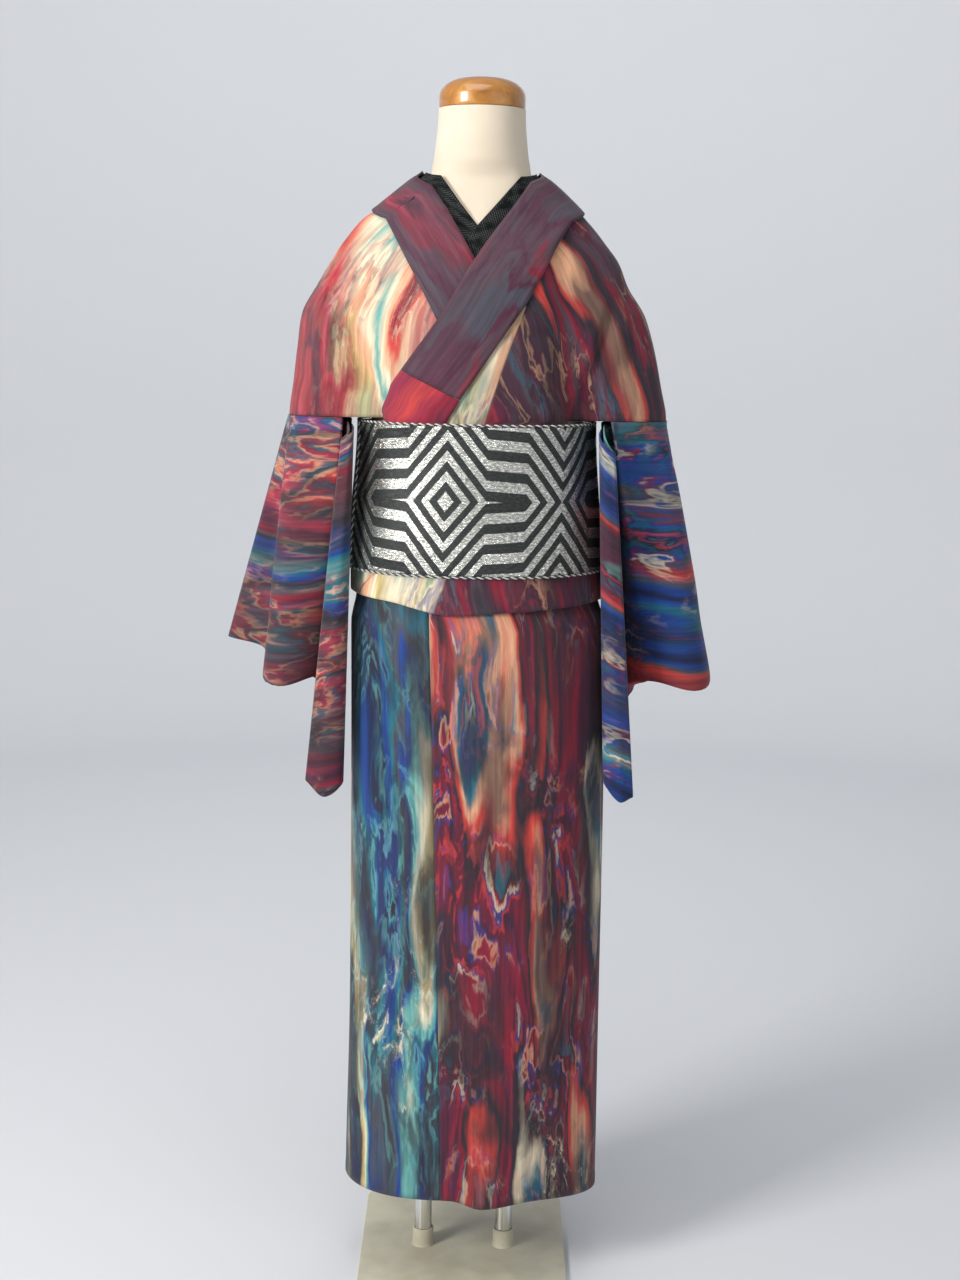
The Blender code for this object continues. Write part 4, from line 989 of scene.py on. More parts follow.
@dataclass(frozen=True)
class DyedCotton:
    """Cotton hand dyed in long flowing streaks, with soft wisps and a fine plain weave.

    Attributes:
        name: The material's name.
        colours: The dyes, in the order in which they run into each other.
        run: Which way the streaks run.
        seed: Where in the endless pattern this cloth was cut.
        wisp: The colour of the soft wisps.
        wisps: How much of the cloth has wisps, from 0 to 1.
        streak_width: A streak's usual width in metres.
        streak_length: A streak's usual length in metres.
        darkness: How strong the dark soft streaks are, from 0 to 1.
        shadow: The colour of the dark soft streaks.
        curl: How far the streaks' edges curl, 1 being usual.
        far: The dye that takes over at the side of the body, if any.
        far_from: How far from the body's middle it starts, in metres.
    """

    name: str
    colours: tuple[tuple[float, float, float], ...]
    run: Run = Run.DOWN
    seed: float = 0.0
    wisp: tuple[float, float, float] = CREAM
    wisps: float = 0.5
    streak_width: float = 0.085
    streak_length: float = 0.50
    darkness: float = 0.78
    shadow: tuple[float, float, float] = CHARCOAL
    curl: float = 0.8
    far: tuple[float, float, float] | None = None
    far_from: float = 0.0

    THREAD = 0.0007
    ROUGHNESS = 0.80
    SHEEN = 0.10

    def make(self) -> Material:
        """Writes the material."""
        n = Nodes(self.name)
        u, v = n.split(n.cloth_place())
        across, along = (u, v) if self.run is Run.DOWN else (v, u)
        place = n.join(n.plus(across, self.seed), n.plus(along, self.seed * 0.37), self.seed * 0.11)
        drift = self.offset(n, place, (9.0, 3.0, 1.0), 2.0, (0.015, 0.085, 0.0))
        curls = self.offset(n, place, (80.0, 18.0, 1.0), 5.0, (0.0042 * self.curl, 0.022 * self.curl, 0.0))
        bent = n.vector("ADD", n.vector("ADD", place, drift), curls)
        streaks = n.scaled(bent, (1 / self.streak_width, 1 / self.streak_length, 1.0))
        flow = n.noise(streaks, 1.0, 2.6, 0.45).outputs[0]
        flow = n.add("ShaderNodeMapRange",
                     {"Value": flow, "From Min": 0.25, "From Max": 0.75}).outputs["Result"]
        count = len(self.colours)
        colour = n.ramp(flow, [((i + 0.5) / count, colour) for i, colour in enumerate(self.colours)])
        colour = self.add_haze(n, bent, colour)
        colour = self.deepen(n, bent, colour)
        colour = self.add_wisps(n, bent, colour)
        if self.far is not None:
            colour = self.run_out(n, bent, colour)
        fine = n.noise(n.scaled(place, (230.0, 7.0, 1.0)), 1.0, 3.0, 0.6).outputs[0]
        shade = n.add("ShaderNodeMapRange", {"Value": fine, "From Min": 0.25, "From Max": 0.75,
                                             "To Min": 0.66, "To Max": 1.30}).outputs["Result"]
        colour = n.blend(1.0, colour, n.join(shade, shade, shade), "MULTIPLY")
        n.link(colour, "Base Color")
        n.value("Roughness", self.ROUGHNESS)
        n.value("Sheen Weight", self.SHEEN)
        n.value("Sheen Roughness", 0.5)
        n.value("Specular IOR Level", 0.30)
        threads = n.bump(n.weave(u, v, self.THREAD), 0.00006, 0.6)
        rumple = n.noise(n.join(u, v, self.seed), 60.0, 3.0, 0.55).outputs[0]
        n.link(n.bump(rumple, 0.0008, 0.40, threads), "Normal")
        return n.material

    @staticmethod
    def offset(n: Nodes, place, scale: tuple, detail: float, reach: tuple) -> NodeSocket:
        """A smooth random shift of the pattern, up to about half its reach each way."""
        colour = n.noise(n.scaled(place, scale), 1.0, detail, 0.58).outputs["Color"]
        return n.scaled(n.vector("SUBTRACT", colour, (0.5, 0.5, 0.5)), tuple(4 * part for part in reach))

    def add_haze(self, n: Nodes, place, colour) -> NodeSocket:
        """Lays soft clouds of the streaks' neighbouring dyes over them."""
        cloud = n.noise(n.scaled(place, (24.0, 8.0, 7.0)), 1.0, 4.0, 0.55).outputs[0]
        pick = n.add("ShaderNodeMapRange",
                     {"Value": cloud, "From Min": 0.30, "From Max": 0.70}).outputs["Result"]
        count = len(self.colours)
        other = n.ramp(pick, [((i + 0.5) / count, self.colours[(i * 3 + 1) % count]) for i in range(count)])
        share = n.noise(n.scaled(place, (13.0, 6.0, 9.0)), 1.0, 4.0, 0.55).outputs[0]
        return n.blend(n.times(n.band(share, 0.42, 0.62), 0.60), colour, other)

    def deepen(self, n: Nodes, place, colour) -> NodeSocket:
        """Lays dark soft streaks over the dyes."""
        dark = n.noise(n.scaled(place, (15.0, 4.5, 3.0)), 1.0, 4.0, 0.52).outputs[0]
        share = n.times(n.band(dark, 0.43, 0.60), self.darkness)
        return n.blend(share, colour, (*self.shadow, 1))

    def run_out(self, n: Nodes, place, colour) -> NodeSocket:
        """Lets the dye of the body's side take over in a soft, uneven border."""
        side = n.size(n.split(n.object_place())[0])
        uneven = n.noise(n.scaled(place, (16.0, 9.0, 2.0)), 1.0, 4.0, 0.55).outputs[0]
        reach = n.plus(side, n.times(n.less(uneven, 0.5), 0.16))
        share = n.band(reach, self.far_from - 0.015, self.far_from + 0.030)
        deep = n.noise(n.scaled(place, (20.0, 7.0, 5.0)), 1.0, 4.0, 0.55).outputs[0]
        other = n.ramp(deep, ((0.34, CHARCOAL), (0.44, self.far), (0.54, CRIMSON), (0.62, PLUM)))
        return n.blend(n.times(share, 0.92), colour, other)

    def add_wisps(self, n: Nodes, place, colour) -> NodeSocket:
        """Lays pale wisps with feathery edges and thin bright rims over the dyes."""
        patches = n.noise(n.scaled(place, (7.5, 4.2, 5.0)), 1.0, 1.0, 0.5).outputs[0]
        patch = n.band(patches, 0.66 - 0.20 * self.wisps, 0.76 - 0.20 * self.wisps)
        feathers = n.noise(n.scaled(place, (62.0, 30.0, 2.0)), 1.0, 7.0, 0.62, 0.5).outputs[0]
        cloud = n.times(n.band(feathers, 0.55, 0.68), patch)
        colour = n.blend(n.times(cloud, 0.88), colour, (*self.wisp, 1))
        ridge = n.size(n.less(feathers, 0.530))
        rim = n.less(1.0, n.band(ridge, 0.003, 0.012))
        broken = n.band(n.noise(n.scaled(place, (50.0, 30.0, 9.0)), 1.0, 2.0).outputs[0], 0.46, 0.58)
        rim = n.times(n.times(rim, patch), n.times(broken, 0.35))
        return n.blend(rim, colour, (*(min(1.0, part * 1.15) for part in self.wisp), 1))


@dataclass(frozen=True)
class LurexBelt:
    """Black belt cloth with silver stripes in nested lozenges and chevrons, the silver carrying painted
    glints.

    Attributes:
        name: The material's name.
        stripe: The width of a pair of stripes, in metres.
        lozenge: The distance between the lozenges' middles, in metres.
        height: The belt's height, in metres.
        rib: The distance between the weave's ribs, in metres.
        zigzag: The width of one chevron, in metres.
    """

    name: str = "silver_belt_cloth"
    stripe: float = 0.0240
    lozenge: float = 0.300
    height: float = 0.184
    rib: float = 0.0011
    zigzag: float = 0.100

    def make(self) -> Material:
        """Writes the material."""
        n = Nodes(self.name)
        u, v = n.split(n.cloth_place())
        saw = n.math("FRACT", n.math("DIVIDE", u, self.lozenge))
        across = n.times(n.size(n.less(saw, 0.5)), self.lozenge)
        along = n.size(n.plus(v, self.height * 0.5))
        zigzag = n.size(n.less(n.math("FRACT", n.math("DIVIDE", u, self.zigzag)), 0.5))
        reach = n.plus(n.times(across, 0.62), n.times(along, 0.95))
        reach = n.plus(reach, n.times(zigzag, self.zigzag * 0.55))
        wobble = n.noise(n.join(u, v), 160.0, 2.0).outputs[0]
        reach = n.plus(reach, n.times(n.less(wobble, 0.5), 0.0012))
        wave = n.sine(n.times(reach, 2 * math.pi / self.stripe))
        silver = n.band(wave, -0.10, 0.10)
        # Painted glints: in patches of the foil noise, the silver stripes' colour runs up to near white,
        # standing in for bright foil highlights.
        foil = n.noise(n.scaled(n.join(u, v), (190.0, 520.0, 1.0)), 1.0, 3.0, 0.7).outputs[0]
        painted_glint = n.ramp(foil, ((0.30, (0.22, 0.22, 0.19)), (0.50, (0.50, 0.50, 0.45)),
                              (0.62, (0.98, 0.98, 0.93))))
        dark = n.ramp(foil, ((0.40, (0.004, 0.006, 0.005)), (0.72, (0.034, 0.042, 0.038))))
        n.link(n.blend(silver, dark, painted_glint), "Base Color")
        n.link(n.times(silver, 0.88), "Metallic")
        n.link(n.less(0.46, n.times(silver, 0.20)), "Roughness")
        ribs = n.sine(n.times(v, 2 * math.pi / self.rib))
        normal = n.bump(ribs, 0.00010, 0.7)
        crackle = n.noise(n.scaled(n.join(u, v), (1.0, 2.4, 1.0)), 95.0, 5.0, 0.62, 0.6).outputs[0]
        near_edge = n.band(along, 0.035, 0.085)
        crackle = n.times(crackle, n.plus(0.35, n.times(near_edge, 0.65)))
        normal = n.bump(crackle, 0.0052, 0.75, normal)
        n.link(n.bump(n.times(silver, 1.0), 0.0003, 0.4, normal), "Normal")
        return n.material


@dataclass(frozen=True)
class CheckWeave:
    """Black cloth woven with a fine pale check."""

    name: str = "black_check_cloth"
    pitch: float = 0.0034

    def make(self) -> Material:
        """Writes the material."""
        n = Nodes(self.name)
        u, v = n.split(n.cloth_place())
        turns = math.pi / self.pitch
        rise = n.sine(n.times(n.plus(u, v), turns))
        fall = n.sine(n.times(n.less(u, v), turns))
        net = n.math("MINIMUM", n.size(rise), n.size(fall))
        line = n.less(1.0, n.band(net, 0.09, 0.22))
        worn = n.noise(n.join(u, v), 55.0, 3.0).outputs[0]
        line = n.times(line, n.band(worn, 0.34, 0.60))
        n.link(n.blend(n.times(line, 0.45), (0.0025, 0.0040, 0.0038, 1), (0.42, 0.44, 0.43, 1)), "Base Color")
        n.value("Roughness", 0.85)
        n.value("Specular IOR Level", 0.12)
        n.link(n.bump(line, 0.0003, 0.8), "Normal")
        return n.material


@dataclass(frozen=True)
class Calico:
    """The form's tight cream cotton cover."""

    name: str = "form_calico"

    def make(self) -> Material:
        """Writes the material."""
        n = Nodes(self.name)
        place = n.object_place()
        cloud = n.noise(place, 9.0, 4.0, 0.6).outputs[0]
        colour = n.ramp(cloud, ((0.32, (0.655, 0.555, 0.425)), (0.68, (0.715, 0.620, 0.490))))
        speck = n.noise(place, 700.0, 2.0, 0.6).outputs[0]
        colour = n.blend(n.times(n.band(speck, 0.62, 0.76), 0.25), colour, (0.60, 0.50, 0.37, 1))
        n.link(colour, "Base Color")
        n.value("Roughness", 0.78)
        n.value("Sheen Weight", 0.25)
        knit = n.add("ShaderNodeTexVoronoi", {"Vector": place, "Scale": 900.0}).outputs["Distance"]
        n.link(n.bump(knit, 0.0002, 0.5, n.bump(cloud, 0.002, 0.25)), "Normal")
        return n.material


@dataclass(frozen=True)
class VarnishedWood:
    """Turned wood under glossy honey varnish."""

    name: str = "honey_varnished_wood"

    def make(self) -> Material:
        """Writes the material."""
        n = Nodes(self.name)
        place = n.object_place()
        grain_place = n.scaled(place, (9.0, 55.0, 30.0))
        grain = n.noise(grain_place, 1.0, 6.0, 0.62, 0.9).outputs[0]
        colour = n.ramp(grain, ((0.30, (0.240, 0.085, 0.010)), (0.48, (0.400, 0.160, 0.022)),
                                (0.66, (0.520, 0.235, 0.040))))
        pores = n.noise(n.scaled(place, (60.0, 900.0, 300.0)), 1.0, 2.0, 0.5).outputs[0]
        colour = n.blend(n.times(n.band(pores, 0.60, 0.72), 0.35), colour, (0.16, 0.05, 0.01, 1))
        n.link(colour, "Base Color")
        n.value("Roughness", 0.34)
        n.value("Coat Weight", 0.8)
        n.value("Coat Roughness", 0.10)
        n.link(n.bump(pores, 0.0002, 0.25), "Normal")
        return n.material


@dataclass(frozen=True)
class EnamelPaint:
    """Khaki-cream enamel with an uneven coat and small dark chips."""

    name: str = "khaki_enamel"

    def make(self) -> Material:
        """Writes the material."""
        n = Nodes(self.name)
        place = n.object_place()
        dust = n.noise(place, 22.0, 5.0, 0.6).outputs[0]
        colour = n.ramp(dust, ((0.30, (0.470, 0.435, 0.320)), (0.70, (0.560, 0.525, 0.400))))
        chips = n.noise(place, 130.0, 5.0, 0.6).outputs[0]
        chip = n.band(chips, 0.735, 0.750)
        colour = n.blend(n.times(chip, 0.85), colour, (0.060, 0.050, 0.040, 1))
        scuff = n.noise(n.scaled(place, (14.0, 120.0, 30.0)), 1.0, 3.0, 0.6).outputs[0]
        colour = n.blend(n.times(n.band(scuff, 0.60, 0.78), 0.22), colour, (0.32, 0.28, 0.20, 1))
        n.link(colour, "Base Color")
        n.link(n.plus(0.38, n.times(dust, 0.22)), "Roughness")
        orange_peel = n.noise(place, 420.0, 2.0).outputs[0]
        normal = n.bump(orange_peel, 0.0003, 0.3)
        n.link(n.bump(n.less(1.0, chip), 0.0004, 0.6, normal), "Normal")
        return n.material


@dataclass(frozen=True)
class DrawnSteel:
    """Bright drawn tube with fine lengthwise lines."""

    name: str = "bright_drawn_steel"

    def make(self) -> Material:
        """Writes the material."""
        n = Nodes(self.name)
        place = n.object_place()
        lines = n.noise(n.scaled(place, (900.0, 900.0, 6.0)), 1.0, 2.0, 0.5).outputs[0]
        n.link(n.ramp(lines, ((0.30, (0.62, 0.62, 0.61)), (0.70, (0.80, 0.80, 0.79)))), "Base Color")
        n.value("Metallic", 1.0)
        n.link(n.plus(0.14, n.times(lines, 0.14)), "Roughness")
        n.link(n.bump(lines, 0.0001, 0.25), "Normal")
        return n.material


@dataclass(frozen=True)
class CordYarn:
    """One strand of the belt's cord, in one colour."""

    name: str
    colour: tuple[float, float, float]
    roughness: float = 0.62

    def make(self) -> Material:
        """Writes the material."""
        n = Nodes(self.name)
        place = n.object_place()
        hairs = n.noise(place, 2600.0, 2.0, 0.6).outputs[0]
        dark = (*(part * 0.55 for part in self.colour), 1)
        n.link(n.blend(n.band(hairs, 0.35, 0.65), dark, (*self.colour, 1)), "Base Color")
        n.value("Roughness", self.roughness)
        n.value("Sheen Weight", 0.3)
        n.link(n.bump(hairs, 0.0002, 0.6), "Normal")
        return n.material


# The robe's pieces


@dataclass
class BodyLength:
    """One body length, over the shoulder from the front tuck to the back tuck.

    Attributes:
        left: Whether it is the wearer's left length.
        finish: Its dyed cotton.
        slot: Its slot in the record.
    """

    left: bool
    finish: DyedCotton
    slot: Slot
    top: float = 1.4180
    row_step: float = 0.0045
    front_columns: int = 72
    back_columns: int = 50
    open_column: float = 38.0
    under_rows: tuple[float, ...] = (1.1150, 1.0500, 0.9850)
    side_closed: float = 1.1000

    def turn(self, degrees):
        """Angles on this length's own side of the body."""
        return degrees if self.left else 180.0 - degrees

    def edge(self, z, sleeved: bool) -> np.ndarray:
        """The angle of the front edge, from this length's own side."""
        rows = LEFT_EDGE if self.left else RIGHT_EDGE
        side = SEAM / 2 if self.left else -SEAM / 2
        found = BODY.angle_at(Curve(rows, "x")(z) + side, z, sleeved)
        return self.turn(found)

    def out(self, z, degrees) -> np.ndarray:
        """How far the length stands out."""
        return left_front_out(degrees, z) if self.left else np.zeros(np.shape(degrees))

    def shares(self) -> tuple[np.ndarray, np.ndarray]:
        """Column places from 0 at the side to 90 at the front edge and at the middle of the back."""
        return np.linspace(0, 90, self.front_columns + 1), np.linspace(0, 90, self.back_columns + 1)[1:]

    def angles(self, z: float, sleeved: bool, side: float = 0.0) -> np.ndarray:
        """Column angles at a level, from the front edge round to the middle of the back.

        Args:
            z: The level.
            sleeved: Whether the section reaches out over the arms.
            side: Below the armhole, the angle at which the columns past the sleeve start.

        Returns:
            The angles, with holes where the columns end at the armhole.
        """
        front, back = self.shares()
        edge = float(self.edge(z, sleeved))
        back_edge = 90.0 - math.degrees(SEAM / 2 / float(BODY.torso["back"](ARMHOLE_Z)))
        if sleeved:
            return np.concatenate([(front / 90.0 * edge)[::-1], -back / 90.0 * back_edge])
        ahead = mix(side, edge, (front - self.open_column) / (90.0 - self.open_column))
        behind = -mix(side, back_edge, (back - self.open_column) / (90.0 - self.open_column))
        ahead[front < self.open_column] = np.nan
        behind[back < self.open_column] = np.nan
        return np.concatenate([ahead[::-1], behind])

    def upper(self) -> list[np.ndarray]:
        """Rows from the shoulder to the armhole."""
        count = round((self.top - ARMHOLE_Z) / self.row_step)
        rows = []
        for z in np.linspace(self.top, ARMHOLE_Z, count + 1):
            angles = self.angles(z, True)
            turned = self.turn(angles)
            lift = self.out(z, np.maximum(angles, 0.0)) + upper_creases(z, turned)
            rows.append(BODY.drape(np.full(angles.shape, z), turned, lift, True))
        return rows

    def under(self) -> list[np.ndarray]:
        """Rows behind the obi."""
        end_out = TUCK_OUTER_OUT + TUCK_LEFT_STEP if self.left else UNDER_RIGHT_OUT
        rows = []
        for z in self.under_rows:
            side = mix(self.open_column * 0.9, 0.25,
                       float(ease((ARMHOLE_Z - z) / (ARMHOLE_Z - self.side_closed))))
            angles = self.angles(z, False, side)
            share = float(ease((ARMHOLE_Z - z) / (ARMHOLE_Z - self.under_rows[-1])))
            start = self.out(z, np.maximum(np.nan_to_num(angles), 0.0))
            rows.append(BODY.drape(np.full(angles.shape, z), self.turn(angles), mix(start, end_out, share)))
        return rows

    def build(self) -> Object:
        """Builds and dresses the piece."""
        name = f"body_{'left' if self.left else 'right'}_upper"
        rows = self.upper() + self.under()
        step = TUCK_LEFT_STEP if self.left else 0.0
        for row in TUCK_PATH:
            angles = self.angles(TUCK_MIDDLE + row.rise, False, 0.25)
            rows.append(tuck_points(row, self.turn(angles), step))
        grid = ClothGrid(np.array(rows), anchor=self.front_columns)
        return sew(name, grid, CLOTH, self.finish.make(), self.slot, Held.DRAPED)


class TuckRow(NamedTuple):
    """A row of the tuck: its height over the fold, and which layer it is in, 0 outer to 1 inner."""

    rise: float
    layer: float


TUCK_MIDDLE = 0.912
TUCK_PATH = (
    *(TuckRow(rise, 0.0) for rise in (0.040, 0.034, 0.028, 0.022, 0.016, 0.010, 0.006, 0.0035)),
    *(TuckRow(0.0017 * (1 - math.sin(math.pi * k / 6)), 0.5 - 0.5 * math.cos(math.pi * k / 6))
      for k in range(1, 6)),
    *(TuckRow(rise, 1.0) for rise in (0.0035, 0.006, 0.010, 0.016, 0.022, 0.028)),
)


def tuck_points(row: TuckRow, degrees: np.ndarray, step: float) -> np.ndarray:
    """Points of the tuck that hangs below the obi, with its gentle waves."""
    low = Curve(TUCK_LOW, "z", "angle")(degrees)
    wave = 0.0007 * np.sin(np.radians(degrees * 7.0 + 40.0)) + 0.0005 * np.sin(np.radians(degrees * 15.0))
    wave = wave * ease((0.044 - row.rise) / 0.030)
    out = mix(TUCK_OUTER_OUT + step, TUCK_INNER_OUT, row.layer) + wave
    return BODY.drape(low + row.rise, degrees, out)


@dataclass
class UpperOverlap:
    """The wearer's left overlap panel, from under the collar to the tuck."""

    finish: DyedCotton
    slot: Slot
    columns: int = 30
    top: float = 1.2880
    rows_above: int = 34
    under_rows: tuple[float, ...] = (1.1150, 1.0500, 0.9850)

    def across(self, z: float, sleeved: bool) -> np.ndarray:
        """Column angles at a level, from the seam to the free edge."""
        start = float(BODY.angle_at(Curve(LEFT_EDGE, "x")(z) - SEAM / 2, z, sleeved))
        end = float(BODY.angle_at(Curve(OVERLAP_FREE_EDGE, "x")(z), z, sleeved))
        return np.linspace(start, end, self.columns + 1)

    def build(self) -> Object:
        """Builds and dresses the piece."""
        rows = []
        for z in np.linspace(self.top, ARMHOLE_Z, self.rows_above + 1):
            angles = self.across(z, True)
            lift = left_front_out(angles, z) + upper_creases(z, angles)
            rows.append(BODY.drape(np.full(angles.shape, z), angles, lift, True))
        for z in self.under_rows:
            share = float(ease((ARMHOLE_Z - z) / (ARMHOLE_Z - self.under_rows[-1])))
            out = mix(LEFT_FRONT_OUT, TUCK_OUTER_OUT + TUCK_LEFT_STEP, share)
            rows.append(BODY.drape(np.full(self.columns + 1, z), self.across(z, False), out))
        for row in TUCK_PATH:
            rows.append(tuck_points(row, self.across(TUCK_MIDDLE + row.rise, False), TUCK_LEFT_STEP))
        grid = ClothGrid(np.array(rows))
        return sew("overlap_left_upper", grid, CLOTH, self.finish.make(), self.slot, Held.DRAPED)


class CrossLine(NamedTuple):
    """A cross line of a collar by the angles of its two edges."""

    inner_angle: float
    inner_z: float
    outer_angle: float
    outer_z: float
    out: float


@dataclass
class CollarBand:
    """A folded collar band from one front end, round the neck or up to a seam, to its other end.

    Attributes:
        name: The piece's name and its node's.
        left: Cross lines up the wearer's left side.
        right: Cross lines up the right side, if the band goes round.
        back: Cross lines behind the shoulder, if the band goes round.
        wall: The folded band's thickness.
        finish: Its material.
        slot: Its slot in the record.
        crown: How far the band swells between its edges.
    """

    name: str
    left: Sequence[Station]
    right: Sequence[Station]
    back: Sequence[BackStation]
    wall: float
    finish: "DyedCotton | CheckWeave"
    slot: Slot
    crown: float = 0.0006
    steps: int = 14
    shoulder_steps: int = 18
    columns: int = 14

    def shares(self) -> np.ndarray:
        """Places across the band."""
        return np.linspace(0, 1, self.columns + 1)

    def lift(self, z: np.ndarray, degrees: np.ndarray) -> np.ndarray:
        """The band's crown between its edges, with the body's creases at half their height."""
        shares = self.shares()
        return self.crown * 4 * shares * (1 - shares) + 0.5 * upper_creases(z, degrees)

    def front_row(self, station: Station) -> np.ndarray:
        """Points straight across the band where it lies on the chest."""
        x = mix(station.inner_x, station.outer_x, self.shares())
        z = mix(station.inner_z, station.outer_z, self.shares())
        degrees = BODY.angle_at(x, z, True)
        return BODY.drape(z, degrees, station.out + self.lift(z, degrees), True)

    def turned_row(self, line: CrossLine) -> np.ndarray:
        """Points across the band on the shoulder or the back."""
        degrees = mix(line.inner_angle, line.outer_angle, self.shares())
        z = mix(line.inner_z, line.outer_z, self.shares())
        return BODY.drape(z, degrees, line.out + self.lift(z, degrees), True)

    @staticmethod
    def between(rows: Sequence, make: type, steps: int) -> list:
        """A table's rows with evenly mixed ones between them."""
        made = []
        for low, high in zip(rows, rows[1:]):
            made += [make(*(mix(a, b, i / steps) for a, b in zip(low, high))) for i in range(steps)]
        return [*made, rows[-1]]

    def side_rows(self, stations: Sequence[Station], left: bool) -> list[np.ndarray]:
        """Rows from a front end up to the middle of the back."""
        rows = [self.front_row(station) for station in self.between(stations, Station, self.steps)]
        if not self.back:
            return rows
        end = stations[-1]
        inner = float(BODY.angle_at(end.inner_x, end.inner_z, True))
        outer = float(BODY.angle_at(end.outer_x, end.outer_z, True))
        front = CrossLine(inner, end.inner_z, outer, end.outer_z, end.out)
        lines = []
        for station in self.back:
            degrees = station.angle if left else 180.0 - station.angle
            lines.append(CrossLine(degrees, station.inner_z, degrees, station.outer_z, station.out))
        over = self.between((front, lines[0]), CrossLine, self.shoulder_steps)[1:-1]
        return rows + [self.turned_row(line) for line in over + self.between(lines, CrossLine, self.steps)]

    def build(self) -> Object:
        """Builds and dresses the piece."""
        rows = self.side_rows(self.left, True)
        if self.back:
            rows += self.side_rows(self.right, False)[:-1][::-1]
        return sew(self.name, ClothGrid(np.array(rows)), self.wall, self.finish.make(), self.slot,
                   Held.FOLDED)


@dataclass
class SkirtPanel:
    """A skirt panel from under the obi to the hem, between two angles.

    Attributes:
        name: The piece's name and its node's.
        start: The angle of its first edge at a level.
        end: The angle of its last edge at a level.
        out: How far the panel stands out at an angle.
        finish: Its dyed cotton.
        slot: Its slot in the record.
    """

    name: str
    start: Callable
    end: Callable
    out: Callable[[np.ndarray], np.ndarray]
    finish: DyedCotton
    slot: Slot
    levels: tuple[float, ...] = (0.975, 0.965, 0.955, 0.944, 0.933, 0.922, 0.910, 0.897, 0.885)
    lower_rows: int = 84
    column_width: float = 0.0042
    seam_depth: float = 0.0007
    seam_width: float = 0.0030
    hem_height: float = 0.0140

    def edge_dip(self, degrees: np.ndarray) -> np.ndarray:
        """The slight dip of the cloth into the seams at its two edges."""
        arc = math.radians(1.0) * SKIRT_REACH
        first, last = degrees[0], degrees[-1]
        near = np.minimum(np.abs(degrees - first), np.abs(degrees - last)) * arc
        return -self.seam_depth * np.exp(-((near / self.seam_width) ** 2))

    def row(self, z: np.ndarray, hem: np.ndarray) -> np.ndarray:
        """Points of one row."""
        degrees = mix(self.start(z), self.end(z), np.linspace(0, 1, len(z)))
        lift = self.out(degrees) + SKIRT_FIELD(z, degrees) + self.edge_dip(degrees)
        lift = lift + 0.0005 * ease((self.hem_height - (z - hem)) / 0.0025)
        return BODY.drape(z, degrees, lift)

    def build(self) -> Object:
        """Builds and dresses the piece."""
        span = abs(float(self.end(0.5) - self.start(0.5))) * math.radians(1.0) * SKIRT_REACH
        shares = np.linspace(0, 1, round(span / self.column_width) + 1)
        hems = Curve(HEM, "z", "angle")(mix(self.start(HEM[0].z), self.end(HEM[0].z), shares))
        rows = [self.row(np.full(shares.shape, z), hems) for z in self.levels]
        for i in range(1, self.lower_rows + 1):
            rows.append(self.row(mix(self.levels[-1], hems, i / self.lower_rows), hems))
        return sew(self.name, ClothGrid(np.array(rows)), CLOTH, self.finish.make(), self.slot, Held.HUNG)


def spline(values: Sequence[float], place: float) -> float:
    """A smooth value between the entries of a list."""
    low = min(int(place), len(values) - 2)
    share = place - low
    a, b = values[low], values[low + 1]
    before = values[low - 1] if low > 0 else 2 * a - b
    after = values[low + 2] if low + 2 < len(values) else 2 * b - a
    start, end = (b - before) / 2, (after - a) / 2
    return a + share * (start + share * (3 * (b - a) - 2 * start - end + share * (start + end - 2 * (b - a))))


